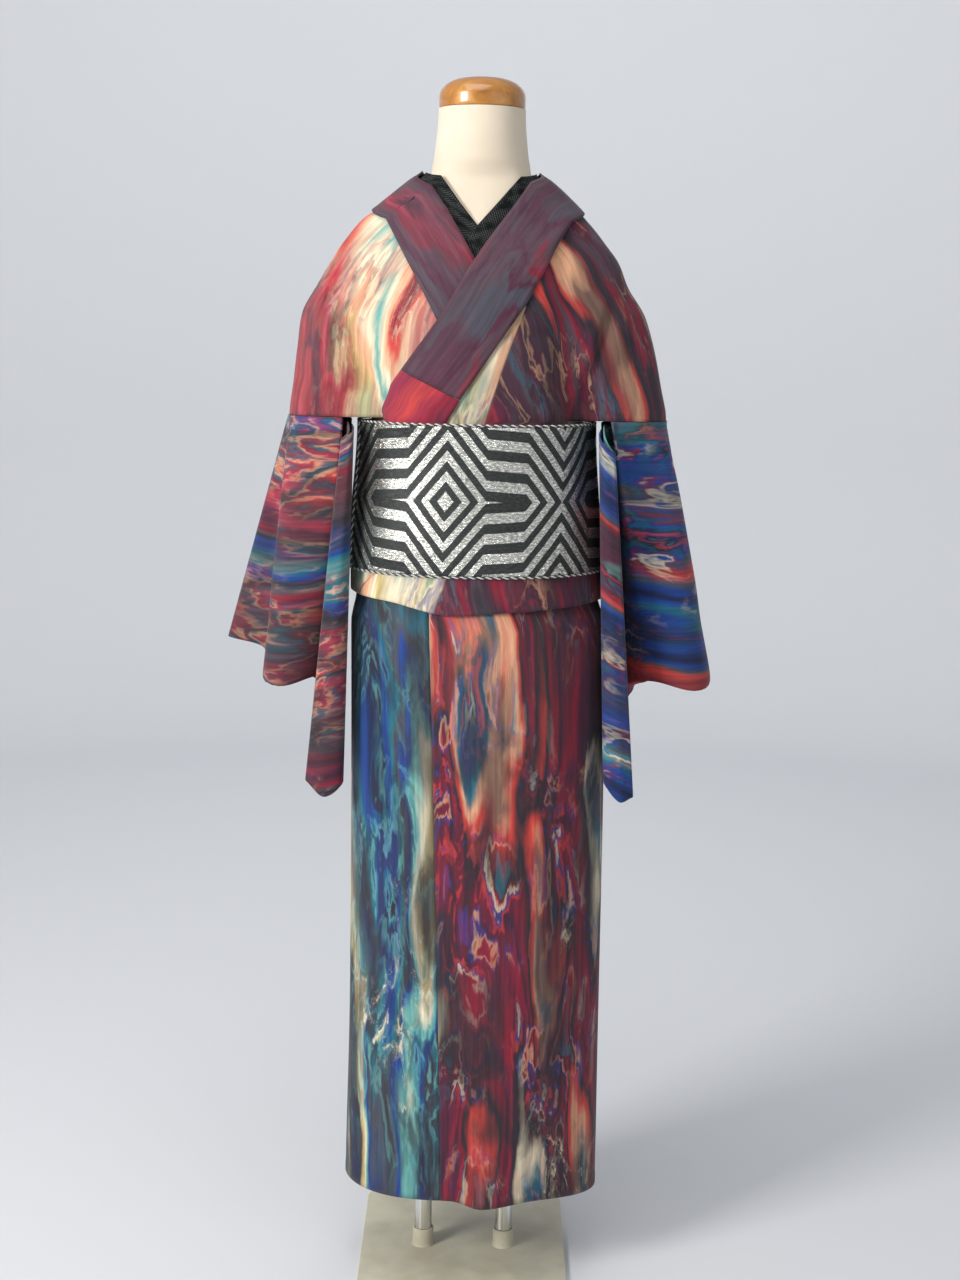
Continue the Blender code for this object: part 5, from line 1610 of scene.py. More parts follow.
@dataclass
class Sleeve:
    """A sleeve: two layers joined at the shoulder fold and the far edge, and closed below past the cuff.

    Attributes:
        name: The piece's name and its node's.
        folds: Its fold lines.
        side: 1 at +X and -1 at -X.
        finish: Its dyed cotton.
        slot: Its slot in the record.
        creases: Soft creases, with places as (fold, share of the way down).
    """

    name: str
    folds: Sequence[Fold]
    side: int
    finish: DyedCotton
    slot: Slot
    creases: Sequence[Crease] = ()
    cuff: int = 4
    steps: int = 8
    rows: int = 64
    edge_round: float = 0.0025
    armhole_gap: float = 0.0007

    def value(self, column: str, place: float) -> float:
        """A column of the fold table between two fold lines."""
        return spline([getattr(fold, column) for fold in self.folds], place)

    def top(self, place: float, layer: int) -> np.ndarray:
        """A point of the upper edge: round the armhole, then down the open inner edge."""
        angles = FRONT_ARMHOLE if layer < 0 else BACK_ARMHOLE
        if place <= len(angles) - 1:
            degrees = -layer * spline(angles, place)
            point = BODY.ring(ARMHOLE_Z, degrees if self.side > 0 else 180.0 - degrees, True)
            return np.array([point[0], point[1], ARMHOLE_Z - self.armhole_gap])
        name = "front" if layer < 0 else "back"
        x, y, z = (self.value(column, place) for column in (f"{name}_x", f"{name}_y", "top_z"))
        return np.array([self.side * x, y, z])

    def low(self, place: float, layer: int) -> np.ndarray:
        """A point of the lower edge, beside the middle line of the folds."""
        step = 0.05
        x, y, z, gap = (self.value(column, place) for column in ("low_x", "low_y", "low_z", "low_gap"))
        after, before = min(place + step, len(self.folds) - 1), max(place - step, 0)
        along = np.array([self.value("low_x", after) - self.value("low_x", before),
                          self.value("low_y", after) - self.value("low_y", before)])
        along /= np.linalg.norm(along)
        return np.array([self.side * (x + along[1] * layer * gap), y - along[0] * layer * gap, z])

    def lift(self, places: np.ndarray, shares: np.ndarray) -> np.ndarray:
        """How far the creases move the cloth out of its plane, for columns and rows."""
        total = np.zeros((len(places), len(shares)))
        for crease in self.creases:
            (a, b), (c, d) = crease.start, crease.end
            share = np.clip((shares - b) / (d - b), 0, 1)
            line = mix(a, c, share) + crease.bow * np.sin(np.pi * share)
            fade = ease((shares - b) / (0.3 * (d - b))) * ease((d - shares) / (0.3 * (d - b)))
            total += crease.height * fade * np.exp(-(((places[:, None] - line) / crease.width) ** 2))
        return total

    def layer(self, layer: int) -> np.ndarray:
        """Points of one layer, as columns of rows."""
        places = np.linspace(0, len(self.folds) - 1, (len(self.folds) - 1) * self.steps + 1)
        shares = np.linspace(0, 1, self.rows + 1)
        tops = np.array([self.top(place, layer) for place in places])
        lows = np.array([self.low(place, layer) for place in places])
        points = tops[:, None] + (lows - tops)[:, None] * shares[None, :, None]
        around = np.gradient(points, axis=0)
        down = np.gradient(points, axis=1)
        normal = np.cross(around, down)
        normal /= np.maximum(np.linalg.norm(normal, axis=2, keepdims=True), 1e-9)
        return points + normal * (self.side * self.lift(places, shares))[..., None]

    def build(self) -> Object:
        """Builds and dresses the piece."""
        front, back = self.layer(-1), self.layer(1)
        middle = (front + back) / 2
        edges = []
        for here, inward in ((middle[0], middle[1]), (middle[-1], middle[-2])):
            away = here - inward
            away /= np.linalg.norm(away, axis=1, keepdims=True)
            edges.append(here + away * self.edge_round)
        grids = [ClothGrid(np.array([edges[0], *columns, edges[1]]).transpose(1, 0, 2))
                 for columns in (front, back)]
        maker = MeshMaker()
        shared = [[maker.work.verts.new(p) for p in edge] for edge in edges]
        cuff = round((self.cuff - 0.5) * self.steps) + 1
        low_edges = [grid.points[-1, cuff:] for grid in grids]
        seam_points = (low_edges[0] + low_edges[1]) / 2 - np.array([0, 0, self.edge_round])
        seam = [maker.work.verts.new(p) for p in seam_points]
        for grid, mirror in zip(grids, (1.0, -1.0)):
            flat = grid.flat_map() * (mirror, 1.0)
            inner = [[maker.work.verts.new(p) for p in column]
                     for column in grid.points[:, 1:-1].transpose(1, 0, 2)]
            columns = [shared[0], *inner, shared[1]]
            for i, (before, after) in enumerate(zip(columns, columns[1:])):
                for j in range(self.rows):
                    places = (flat[j, i], flat[j, i + 1], flat[j + 1, i + 1], flat[j + 1, i])
                    maker.add_face((before[j], after[j], after[j + 1], before[j + 1]), places)
            for k in range(len(seam) - 1):
                before, after = columns[cuff + k], columns[cuff + k + 1]
                at = (flat[-1, cuff + k], flat[-1, cuff + k + 1])
                drop = np.array([0, -self.edge_round])
                maker.add_face((before[-1], after[-1], seam[k + 1], seam[k]),
                               (at[0], at[1], at[1] + drop, at[0] + drop))
        obj = maker.finish(f"{self.name}_cloth")
        give_wall(obj, CLOTH)
        hand_over(obj, self.finish.make(), self.slot, self.name)
        declare_cloth(obj, grids, Held.HUNG)
        return obj


# The belt


def obi_out(z, degrees) -> np.ndarray:
    """How far the obi's middle stands out from the robe's innermost layer."""
    in_front = ease((np.sin(np.radians(degrees)) - 0.35) / 0.35)
    top = mix(OBI_SIDE_OUT, OBI_FRONT_OUT, in_front)
    return mix(OBI_LOW_OUT, top, ease((z - OBI_LOW) / (OBI_TOP - OBI_LOW)))


def obi_points(z, degrees, extra=0.0) -> np.ndarray:
    """Points on the obi's middle surface, or a distance out from it."""
    return BODY.drape(z, degrees, obi_out(z, degrees) + extra)


class Flap(NamedTuple):
    """A four-cornered length of belt in the knot: corners by angle and height, and how far out it lies."""

    name: str
    corners: tuple[tuple[float, float], ...]
    extra: float


@dataclass
class Obi:
    """The belt's band and the flat knot behind."""

    finish: LurexBelt
    columns: int = 420
    rows: int = 64
    start_angle: float = 163.0
    flap_steps: int = 40
    flap_crown: float = 0.0012
    flap_edge: float = 0.0018
    flaps: tuple[Flap, ...] = (
        Flap("obi_knot_tail", ((228.0, 0.985), (266.0, 0.972), (306.0, 1.100), (268.0, 1.113)), 0.0052),
        Flap("obi_knot_end", ((262.0, 1.015), (302.0, 1.028), (276.0, 1.190), (236.0, 1.177)), 0.0118),
    )

    def band(self) -> ClothGrid:
        """The surface of the belt's band."""
        degrees = self.start_angle - np.arange(self.columns) * 360.0 / self.columns
        rows = []
        for z in np.linspace(OBI_TOP, OBI_LOW, self.rows + 1):
            levels = np.full(degrees.shape, z)
            rows.append(obi_points(levels, degrees, OBI_FIELD(levels, degrees)))
        return ClothGrid(np.array(rows), closed=True)

    def flap(self, flap: Flap) -> ClothGrid:
        """The surface of one folded length of the knot."""
        shares = np.linspace(0, 1, self.flap_steps + 1)
        v, u = np.meshgrid(shares, shares)
        first, second, third, fourth = (np.array(corner) for corner in flap.corners)
        low = first + (second - first) * u[..., None]
        high = fourth + (third - fourth) * u[..., None]
        place = low + (high - low) * v[..., None]
        degrees, z = place[..., 0], place[..., 1]
        crown = self.flap_crown * np.sin(np.pi * u) ** 0.7
        points = obi_points(np.minimum(z, OBI_TOP), degrees, flap.extra + crown)
        points[..., 2] += np.maximum(z - OBI_TOP, 0)
        return ClothGrid(points.transpose(1, 0, 2))

    def build(self, cords: Sequence[Object]) -> None:
        """Builds and dresses the belt's pieces.

        Args:
            cords: The edge cords, which are sewn on the band; not used.
        """
        cloth = self.finish.make()
        sew("obi_band", self.band(), OBI_CLOTH, cloth, Slot.SILVER, Held.STRETCHED)
        for flap in self.flaps:
            sew(flap.name, self.flap(flap), KNOT_WALL, cloth, Slot.SILVER, Held.FOLDED,
                edge=self.flap_edge)


class CordTree(TreeWriter):
    """The Geometry Nodes tree that lays two twisted strands along a line.

    Args:
        light: The pale strand's material.
        dark: The dark strand's material.
    """

    def __init__(self, light: Material, dark: Material) -> None:
        """Writes the tree."""
        self.tree = bpy.data.node_groups.new("twisted_cord", "GeometryNodeTree")
        face = self.tree.interface
        face.new_socket("Geometry", in_out="INPUT", socket_type="NodeSocketGeometry")
        self.inputs = {}
        usual = {"Turns": 100.0, "Strand Radius": 0.0009, "Lay Radius": 0.0008, "Step": 0.001}
        for name, value in usual.items():
            socket = face.new_socket(name, in_out="INPUT", socket_type="NodeSocketFloat")
            socket.default_value = value
            self.inputs[name] = socket.identifier
        face.new_socket("Geometry", in_out="OUTPUT", socket_type="NodeSocketGeometry")
        source = self.add("NodeGroupInput")
        line = self.add("GeometryNodeMeshToCurve", {"Mesh": source.outputs["Geometry"]})
        upright = self.add("GeometryNodeSetCurveNormal", {"Curve": line.outputs[0]}, mode="Z_UP")
        resampled = self.add("GeometryNodeResampleCurve", {"Curve": upright.outputs[0],
                                                           "Length": source.outputs["Step"]}, mode="LENGTH")
        strands = [self.strand(source, resampled.outputs[0], phase, finish)
                   for phase, finish in ((0.0, light), (math.pi, dark))]
        joined = self.add("GeometryNodeJoinGeometry")
        for strand in strands:
            self.tree.links.new(strand, joined.inputs[0])
        real = self.add("GeometryNodeRealizeInstances", {0: joined.outputs[0]})
        self.tree.links.new(real.outputs[0], self.add("NodeGroupOutput").inputs[0])

    def scale(self, vector, by) -> NodeSocket:
        """A vector times a number."""
        return self.add("ShaderNodeVectorMath", {0: vector, "Scale": by}, operation="SCALE").outputs[0]

    def strand(self, source, line, phase: float, finish: Material) -> NodeSocket:
        """One strand, wound round the line from a phase."""
        along = self.add("GeometryNodeSplineParameter").outputs["Factor"]
        turn = self.plus(self.times(self.times(along, source.outputs["Turns"]), 2 * math.pi), phase)
        normal = self.add("GeometryNodeInputNormal").outputs[0]
        tangent = self.add("GeometryNodeInputTangent").outputs[0]
        across = self.vector("CROSS_PRODUCT", tangent, normal)
        lay = source.outputs["Lay Radius"]
        first = self.scale(normal, self.times(self.math("COSINE", turn), lay))
        second = self.scale(across, self.times(self.sine(turn), lay))
        offset = self.vector("ADD", first, second)
        moved = self.add("GeometryNodeSetPosition", {"Geometry": line, "Offset": offset})
        radius = source.outputs["Strand Radius"]
        ring = self.add("GeometryNodeCurvePrimitiveCircle", {"Resolution": 7, "Radius": radius})
        tube = self.add("GeometryNodeCurveToMesh", {"Curve": moved.outputs[0],
                                                    "Profile Curve": ring.outputs[0], "Fill Caps": True})
        smooth = self.add("GeometryNodeSetShadeSmooth", {0: tube.outputs[0]})
        return self.add("GeometryNodeSetMaterial", {0: smooth.outputs[0], "Material": finish}).outputs[0]


@dataclass
class EdgeCords:
    """The twisted black and white cords along the belt's edges and down its outer end."""

    light: CordYarn = CordYarn("pale_cord_yarn", (0.74, 0.73, 0.70))
    dark: CordYarn = CordYarn("dark_cord_yarn", (0.018, 0.018, 0.020))
    twist: float = 0.0105
    step: float = 0.0010
    end_angle: float = 163.0
    columns: int = 240

    def line(self, name: str, points: np.ndarray, closed: bool) -> Object:
        """A line of edges that a cord follows."""
        mesh = bpy.data.meshes.new(name)
        count = len(points)
        edges = [(i, (i + 1) % count) for i in range(count if closed else count - 1)]
        mesh.from_pydata([tuple(p) for p in points], edges, [])
        return new_object(name, mesh)

    def twist_along(self, name: str, points: np.ndarray, closed: bool, tree: CordTree) -> Object:
        """Winds the two strands along a line and keeps the result as a plain mesh."""
        guide = self.line(f"{name}_line", points, closed)
        ends = np.vstack([points, points[:1]]) if closed else points
        length = float(np.linalg.norm(np.diff(ends, axis=0), axis=1).sum())
        modifier = guide.modifiers.new("cord", "NODES")
        modifier.node_group = tree.tree
        radius = CORD / 4
        wanted = {"Turns": float(round(length / self.twist)), "Strand Radius": radius * 1.08,
                  "Lay Radius": radius, "Step": self.step}
        for key, value in wanted.items():
            modifier[tree.inputs[key]] = value
        graph = bpy.context.evaluated_depsgraph_get()
        mesh = bpy.data.meshes.new_from_object(guide.evaluated_get(graph))
        mesh.name = f"{name}_twist"
        bpy.data.objects.remove(guide)
        return new_object(f"{name}_twist", mesh)

    def build(self) -> list[Object]:
        """Builds and dresses the three cords.

        Returns:
            The cords.
        """
        light, dark = self.light.make(), self.dark.make()
        tree = CordTree(light, dark)
        past_edge = CORD / 2 + SEAM
        degrees = np.arange(self.columns) * 360.0 / self.columns
        made = []
        for name, z in (("obi_cord_top", OBI_TOP + past_edge), ("obi_cord_low", OBI_LOW - past_edge)):
            points = obi_points(np.full(degrees.shape, z), degrees)
            made.append(self.twist_along(name, points, True, tree))
        levels = np.linspace(OBI_LOW, OBI_TOP, 40)
        seat = OBI_CLOTH / 2 + CORD / 2 + SEAM
        points = obi_points(levels, np.full(levels.shape, self.end_angle), seat)
        made.append(self.twist_along("obi_cord_end", points, False, tree))
        for obj in made:
            hand_over(obj, light, Slot.CORD, obj.name.removesuffix("_twist"))
        return made


# The form and its stand

SHARP_FROM = 38.0


def solid_of_rings(name: str, rings: np.ndarray, hollow: bool = False) -> Object:
    """A smooth closed solid from rings.

    Args:
        name: The piece's name.
        rings: Its rings of points, in order.
        hollow: Whether the last ring meets the first one, as in a tube with a wall. Otherwise each end
            has a round cap of faces.

    Returns:
        The new object.
    """
    work = bmesh.new()
    points = [[work.verts.new(p) for p in ring] for ring in rings]
    count = len(rings[0])
    for low, high in zip(points, points[1:] + (points[:1] if hollow else [])):
        for i in range(count):
            work.faces.new((low[i], low[(i + 1) % count], high[(i + 1) % count], high[i]))
    for ring in () if hollow else (points[0], points[-1]):
        centre = work.verts.new(sum((v.co for v in ring), Vector()) / count)
        for i in range(count):
            work.faces.new((ring[i], ring[(i + 1) % count], centre))
    bmesh.ops.recalc_face_normals(work, faces=work.faces)
    return smooth_object(name, work, SHARP_FROM)


def turn_profile(profile: Sequence[tuple[float, float]], segments: int, x: float = 0.0) -> np.ndarray:
    """Rings round an upright axis, from radii and heights."""
    turns = 2 * np.pi * np.arange(segments) / segments
    return np.array([[(x + r * math.cos(t), r * math.sin(t), z) for t in turns] for r, z in profile])


@dataclass
class DressForm:
    """The limbless torso and neck, just inside the cloth where the cloth rests on it."""

    finish: Calico = Calico()
    segments: int = 96
    waist_clear: float = 0.0068
    shoulder_clear: float = 0.0040
    neck_clear: float = 0.0085
    neck_slope: float = 1.380
    row_step: float = 0.010

    def ring(self, z: float) -> np.ndarray:
        """The points of one level ring."""
        degrees = np.arange(self.segments) * 360.0 / self.segments
        angle = np.radians(degrees)
        side = np.where(np.sin(angle) >= 0, Curve(FORM, "front")(z), Curve(FORM, "back")(z))
        own = oval(Curve(FORM, "half_width")(z), side, 2.0, angle)
        clear = mix(self.waist_clear, self.shoulder_clear, ease((z - ARMHOLE_Z) / 0.100))
        clear = mix(clear, self.neck_clear, ease((z - self.neck_slope) / 0.030))
        shift = float(Curve(FORM, "shift")(z))
        if z <= TORSO[-1].z:
            lining = BODY.ring(np.full(degrees.shape, z), degrees, z > ARMHOLE_Z)
            own = np.minimum(own, np.hypot(lining[:, 0] - shift, lining[:, 1]) - clear)
        return np.stack([shift + own * np.cos(angle), -own * np.sin(angle), np.full(angle.shape, z)], axis=-1)

    def build(self) -> None:
        """Builds and dresses the form."""
        low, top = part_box("form_torso")
        count = round((top.z - low.z) / self.row_step)
        rings = np.array([self.ring(z) for z in np.linspace(low.z, top.z, count + 1)])
        obj = solid_of_rings("form_torso_cover", rings)
        hand_over(obj, self.finish.make(), Slot.FORM, "form_torso")


@dataclass
class NeckCap:
    """The turned wooden cap on the neck."""

    finish: VarnishedWood = VarnishedWood()
    segments: int = 96
    radius: float = 0.0545
    edge: float = 0.0175

    def build(self) -> None:
        """Builds and dresses the cap."""
        base = NECK_TOP + SEAM
        shoulder = base + 0.014
        dome = CAP_TOP - shoulder
        profile = [(self.radius - 0.0022, base), (self.radius - 0.0006, base + 0.0008),
                   (self.radius, base + 0.0026), (self.radius, base + 0.0060), (self.radius, base + 0.0105)]
        for step in range(0, 25):
            angle = math.radians(3.6 * step)
            profile.append((self.edge + (self.radius - self.edge) * math.cos(angle),
                            shoulder + dome * math.sin(angle)))
        profile.append((0.006, CAP_TOP + 0.0001))
        obj = solid_of_rings("neck_cap_turned", turn_profile(profile, self.segments))
        hand_over(obj, self.finish.make(), Slot.WOOD, "neck_cap")


@dataclass
class Stand:
    """The base plate, its two sockets and the two tubes."""

    paint: EnamelPaint = EnamelPaint()
    steel: DrawnSteel = DrawnSteel()
    segments: int = 64
    plate_corner: float = 0.022
    corner_steps: int = 14
    bevel: float = 0.0009
    rim: float = 0.0012

    def plate(self) -> Object:
        """The plate with its rounded corners and softened edges."""
        low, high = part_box("stand_plate")
        corners = []
        for quarter in range(4):
            centre_x = (high.x - self.plate_corner) * (1 if quarter in (0, 3) else -1)
            centre_y = (high.y - self.plate_corner) * (1 if quarter in (0, 1) else -1)
            for i in range(self.corner_steps + 1):
                angle = math.radians(90.0 * (quarter + i / self.corner_steps))
                corners.append((centre_x, centre_y, math.cos(angle), math.sin(angle)))
        rings = []
        for z, inset in ((low.z, self.bevel), (low.z + self.bevel, 0.0), (high.z - self.bevel, 0.0),
                         (high.z - self.bevel * 0.3, self.bevel * 0.3), (high.z, self.bevel)):
            reach = self.plate_corner - inset
            rings.append([(x + reach * c, y + reach * s, z) for x, y, c, s in corners])
        return solid_of_rings("stand_plate_enamelled", np.array(rings))

    def socket_profile(self, low: float, high: float, outer: float, bore: float) -> list[tuple[float, float]]:
        """The socket's section as radii and heights, up its outside and down its bore."""
        foot = [(outer + 0.0012, low), (outer + 0.0004, low + 0.0008), (outer, low + 0.0022)]
        rim = self.rim
        shoulder = [(outer - rim + rim * math.cos(a), high - rim + rim * math.sin(a))
                    for a in (0.4, 0.8, 1.2, math.pi / 2)]
        inside = [(bore + 0.0004, high), (bore, high - 0.0004), (bore, low)]
        return [*foot, (outer, high - rim), *shoulder, *inside]

    def build(self) -> None:
        """Builds and dresses the stand."""
        paint, steel = self.paint.make(), self.steel.make()
        hand_over(self.plate(), paint, Slot.PAINT, "stand_plate")
        for side in ("left", "right"):
            tube, socket = f"stand_tube_{side}", f"stand_socket_{side}"
            low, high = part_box(tube)
            radius = (high.x - low.x) / 2
            profile = [(radius, low.z), (radius, mix(low.z, high.z, 0.5)), (radius, high.z)]
            rings = turn_profile(profile, self.segments, (low.x + high.x) / 2)
            hand_over(solid_of_rings(f"{tube}_drawn", rings), steel, Slot.STEEL, tube)
            low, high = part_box(socket)
            profile = self.socket_profile(low.z, high.z, (high.x - low.x) / 2, radius + SEAM)
            rings = turn_profile(profile, self.segments, (low.x + high.x) / 2)
            hand_over(solid_of_rings(f"{socket}_enamelled", rings, hollow=True), paint, Slot.PAINT, socket)


@dataclass
class Studio:
    """The pale round floor, the soft lights and the camera."""

    camera_place: tuple[float, float, float] = (0.009, -2.470, 1.260)
    camera_pitch: float = 9.3
    camera_roll: float = 1.02
    lens: float = 53.4
    floor_radius: float = 3.2
    bend: float = 0.9
    rim_height: float = 3.4
    turns: int = 96

    def camera(self) -> None:
        """Places the camera at the photograph's angle."""
        data = bpy.data.cameras.new("camera")
        data.lens = self.lens
        data.sensor_fit = "AUTO"
        obj = new_object("camera", data)
        turn = Matrix.Rotation(math.radians(90.0 - self.camera_pitch), 4, "X")
        roll = Matrix.Rotation(math.radians(self.camera_roll), 4, "Z")
        obj.matrix_world = Matrix.Translation(self.camera_place) @ turn @ roll
        bpy.context.scene.camera = obj

    def sweep(self) -> None:
        """The round floor, which bends up into a backdrop on every side."""
        profile = [(0.6 * self.floor_radius, -0.0004), (self.floor_radius, -0.0004)]
        for step in range(1, 17):
            angle = math.radians(90.0 * step / 16)
            profile.append((self.floor_radius + self.bend * math.sin(angle),
                            self.bend - self.bend * math.cos(angle) - 0.0004))
        profile.append((self.floor_radius + self.bend, self.rim_height))
        work = bmesh.new()
        rings = []
        for reach, height in profile:
            angles = [2 * math.pi * turn / self.turns for turn in range(self.turns)]
            rings.append([work.verts.new((reach * math.cos(a), reach * math.sin(a), height)) for a in angles])
        work.faces.new(rings[0])
        for low, high in zip(rings, rings[1:]):
            for i in range(self.turns):
                k = (i + 1) % self.turns
                work.faces.new((low[i], high[i], high[k], low[k]))
        bmesh.ops.recalc_face_normals(work, faces=work.faces)
        bmesh.ops.reverse_faces(work, faces=work.faces)
        obj = smooth_object("studio_sweep", work)
        n = Nodes("pale_paper")
        n.value("Base Color", (0.68, 0.69, 0.71, 1))
        n.value("Roughness", 0.9)
        obj.data.materials.append(n.material)

    def light(self, name: str, place: tuple, aim: tuple, size: float, power: float, colour: tuple) -> None:
        """One soft square light."""
        data = bpy.data.lights.new(name, "AREA")
        data.shape = "SQUARE"
        data.size = size
        data.energy = power
        data.color = colour
        obj = new_object(name, data)
        obj.location = place
        obj.rotation_euler = (Vector(aim) - Vector(place)).to_track_quat("-Z", "Y").to_euler()

    def build(self) -> None:
        """Builds the studio."""
        self.camera()
        self.sweep()
        self.light("key", (-2.3, -2.0, 1.9), (0.0, 0.0, 0.85), 0.9, 92.0, (1.0, 0.985, 0.965))
        self.light("fill", (2.1, -2.3, 1.4), (0.0, 0.0, 0.8), 2.0, 7.0, (0.96, 0.98, 1.0))
        self.light("wall", (0.0, 1.3, 3.3), (0.0, 4.1, 1.3), 1.6, 34.0, (0.98, 0.99, 1.0))
        self.light("top", (-0.4, -0.9, 3.0), (0.0, 0.2, 0.8), 1.6, 22.0, (1.0, 1.0, 1.0))
        world = bpy.data.worlds.new("studio_world")
        world.use_nodes = True
        background = world.node_tree.nodes["Background"]
        background.inputs["Color"].default_value = (0.92, 0.95, 1.0, 1)
        background.inputs["Strength"].default_value = 0.42
        bpy.context.scene.world = world
        bpy.context.scene.view_settings.view_transform = "Standard"


# Dyes of the cloth pieces

BODY_LEFT_DYE = DyedCotton(
    "dye_body_left",
    (TEAL, COBALT, CHARCOAL, MAUVE, PLUM, CRIMSON, PLUM, MAUVE, CRIMSON, PLUM, CHARCOAL, CORAL, PEACH),
    seed=3.1, wisps=0.12, wisp=PEACH)
BODY_RIGHT_DYE = DyedCotton(
    "dye_body_right", (PLUM, CRIMSON, CORAL, PEACH, CREAM, AQUA, CREAM, PEACH, STRAW, CREAM, CORAL, SLATE),
    seed=11.4, wisps=0.70, darkness=0.30, shadow=AQUA, far=ROSE, far_from=0.165)
OVERLAP_DYE = DyedCotton("dye_overlap", (COBALT, TEAL, AQUA, CREAM, STRAW, CREAM, PEACH, SLATE), seed=7.7,
                         wisps=0.5, darkness=0.35)
COLLAR_DYE = DyedCotton("dye_collar", (CHARCOAL, MAUVE, SLATE, PLUM, MAUVE, CRIMSON, ROSE, PLUM, CHARCOAL),
                        seed=5.2, wisps=-0.5, wisp=ROSE, streak_width=0.060, streak_length=0.16,
                        darkness=0.45, shadow=MAUVE)
LOWER_COLLAR_DYE = DyedCotton("dye_lower_collar", (PLUM, CRIMSON, ROSE, CORAL, CRIMSON, MAUVE), seed=8.9,
                              wisps=0.0, wisp=ROSE, streak_length=0.2, darkness=0.4, shadow=PLUM)
FRONT_DYE = DyedCotton(
    "dye_skirt_front",
    (COBALT, TEAL, CREAM, CHARCOAL, PLUM, CRIMSON, PLUM, CRIMSON, CHARCOAL, CORAL, PEACH, TEAL, COBALT),
    seed=21.3, wisps=0.30, curl=0.6)
SIDE_DYE = DyedCotton(
    "dye_skirt_overlap",
    (CRIMSON, CHARCOAL, NAVY, COBALT, TEAL, SLATE, COBALT, AQUA, CREAM, STRAW, CHARCOAL, NAVY),
    seed=33.8, wisps=0.45, curl=0.6)
BACK_DYE = DyedCotton(
    "dye_skirt_back",
    (CREAM, COBALT, NAVY, TEAL, AQUA, CHARCOAL, COBALT, PEACH, CRIMSON, PLUM, CHARCOAL),
    seed=45.6, wisps=0.40, curl=0.6)
BACK_RIGHT_DYE = replace(BACK_DYE, name="dye_skirt_back_right", seed=88.3)
RIGHT_SLEEVE_DYE = DyedCotton(
    "dye_sleeve_right",
    (AQUA, TEAL, COBALT, CHARCOAL, MAUVE, CRIMSON, PLUM, ROSE, CHARCOAL, CORAL, PEACH, SLATE),
    Run.ACROSS, seed=52.1, wisps=0.10, streak_width=0.105, streak_length=0.85, darkness=0.65, curl=0.3)
LEFT_SLEEVE_DYE = DyedCotton(
    "dye_sleeve_left", (CREAM, AQUA, TEAL, COBALT, NAVY, COBALT, SLATE, CORAL, CRIMSON, PLUM, CHARCOAL),
    Run.ACROSS, seed=61.7, wisps=0.14, streak_width=0.105, streak_length=0.85, darkness=0.55, curl=0.3)


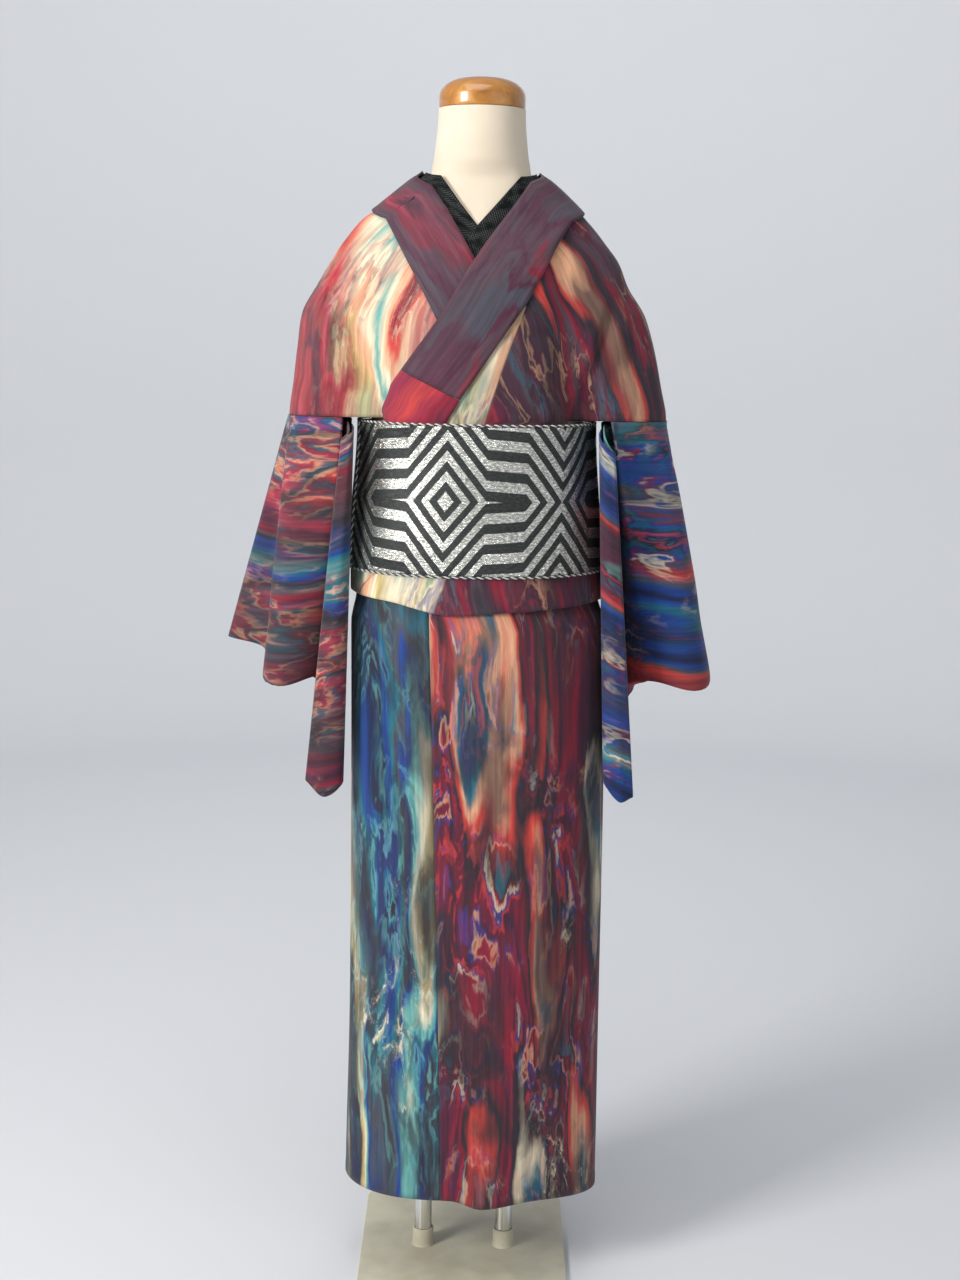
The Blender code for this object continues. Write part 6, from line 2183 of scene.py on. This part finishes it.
def build_skirt() -> None:
    """Builds the six skirt panels, wrapped left over right."""
    gap = math.degrees(SEAM / SKIRT_REACH)
    right_seam_x = 0.050
    inner_edge = 28.0
    outer_edge = 176.0
    seam_x = Curve(SKIRT_SEAM, "x")

    def wrap_out(degrees: np.ndarray) -> np.ndarray:
        """How far the outer wrap stands out."""
        return SKIRT_WRAP_OUT * ease((degrees - 1.0) / 18.0)

    def flat(degrees: np.ndarray) -> np.ndarray:
        """The inner wrap lies on the innermost layer."""
        return np.zeros(degrees.shape)

    def left_seam(z) -> np.ndarray:
        """The outer wrap's seam, as angles."""
        return BODY.angle_at(seam_x(z), z, False)

    def right_seam(z) -> np.ndarray:
        """The inner wrap's seam, as angles."""
        return BODY.angle_at(right_seam_x, z, False)

    panels = (
        SkirtPanel("skirt_left_front", lambda z: gap, lambda z: left_seam(z) - gap / 2, wrap_out, FRONT_DYE,
                   Slot.CRIMSON),
        SkirtPanel("skirt_left_overlap", lambda z: left_seam(z) + gap / 2, lambda z: outer_edge, wrap_out,
                   SIDE_DYE, Slot.BLUE),
        SkirtPanel("skirt_right_front", lambda z: 180.0 - gap, lambda z: right_seam(z) + gap / 2, flat,
                   FRONT_DYE, Slot.CRIMSON),
        SkirtPanel("skirt_right_overlap", lambda z: right_seam(z) - gap / 2, lambda z: inner_edge, flat,
                   SIDE_DYE, Slot.BLUE),
        SkirtPanel("skirt_back_left", lambda z: -gap, lambda z: -90.0 + gap / 2, flat, BACK_DYE, Slot.BLUE),
        SkirtPanel("skirt_back_right", lambda z: 180.0 + gap, lambda z: 270.0 - gap / 2, flat, BACK_RIGHT_DYE,
                   Slot.BLUE),
    )
    for panel in panels:
        panel.build()


RIGHT_SLEEVE_CREASES = (
    Crease((1.6, 0.05), (1.9, 0.85), 0.40, 0.0035, 0.15),
    Crease((2.5, 0.00), (2.5, 0.60), 0.35, -0.0030, 0.10),
    Crease((0.7, 0.30), (0.8, 0.95), 0.30, -0.0022, 0.05),
)
LEFT_SLEEVE_CREASES = (
    Crease((1.5, 0.05), (1.7, 0.85), 0.40, 0.0030, -0.15),
    Crease((2.5, 0.00), (2.6, 0.65), 0.35, -0.0035, 0.10),
    Crease((0.8, 0.35), (0.7, 0.95), 0.30, -0.0022, 0.05),
)


def main() -> None:
    """Builds every piece in order."""
    logging.basicConfig(level=logging.INFO, format="%(name)s: %(message)s")
    Studio().build()
    Stand().build()
    DressForm().build()
    NeckCap().build()
    BodyLength(True, BODY_LEFT_DYE, Slot.CRIMSON).build()
    BodyLength(False, BODY_RIGHT_DYE, Slot.CREAM).build()
    UpperOverlap(OVERLAP_DYE, Slot.CREAM).build()
    CollarBand("collar_left_lower", LEFT_COLLAR, (), (), COLLAR_CLOTH, LOWER_COLLAR_DYE, Slot.CRIMSON).build()
    CollarBand("collar_cover", LEFT_COVER, RIGHT_COVER, COVER_BACK, COLLAR_CLOTH, COLLAR_DYE,
               Slot.PLUM).build()
    CollarBand("false_collar", FALSE_LEFT, FALSE_RIGHT, FALSE_BACK, FALSE_COLLAR_CLOTH, CheckWeave(),
               Slot.BLACK, crown=0.0003).build()
    build_skirt()
    Sleeve("sleeve_right", RIGHT_SLEEVE, -1, RIGHT_SLEEVE_DYE, Slot.PLUM, RIGHT_SLEEVE_CREASES).build()
    Sleeve("sleeve_left", LEFT_SLEEVE, 1, LEFT_SLEEVE_DYE, Slot.BLUE, LEFT_SLEEVE_CREASES).build()
    cords = EdgeCords().build()
    Obi(LurexBelt()).build(cords)


if __name__ == "__main__":
    main()
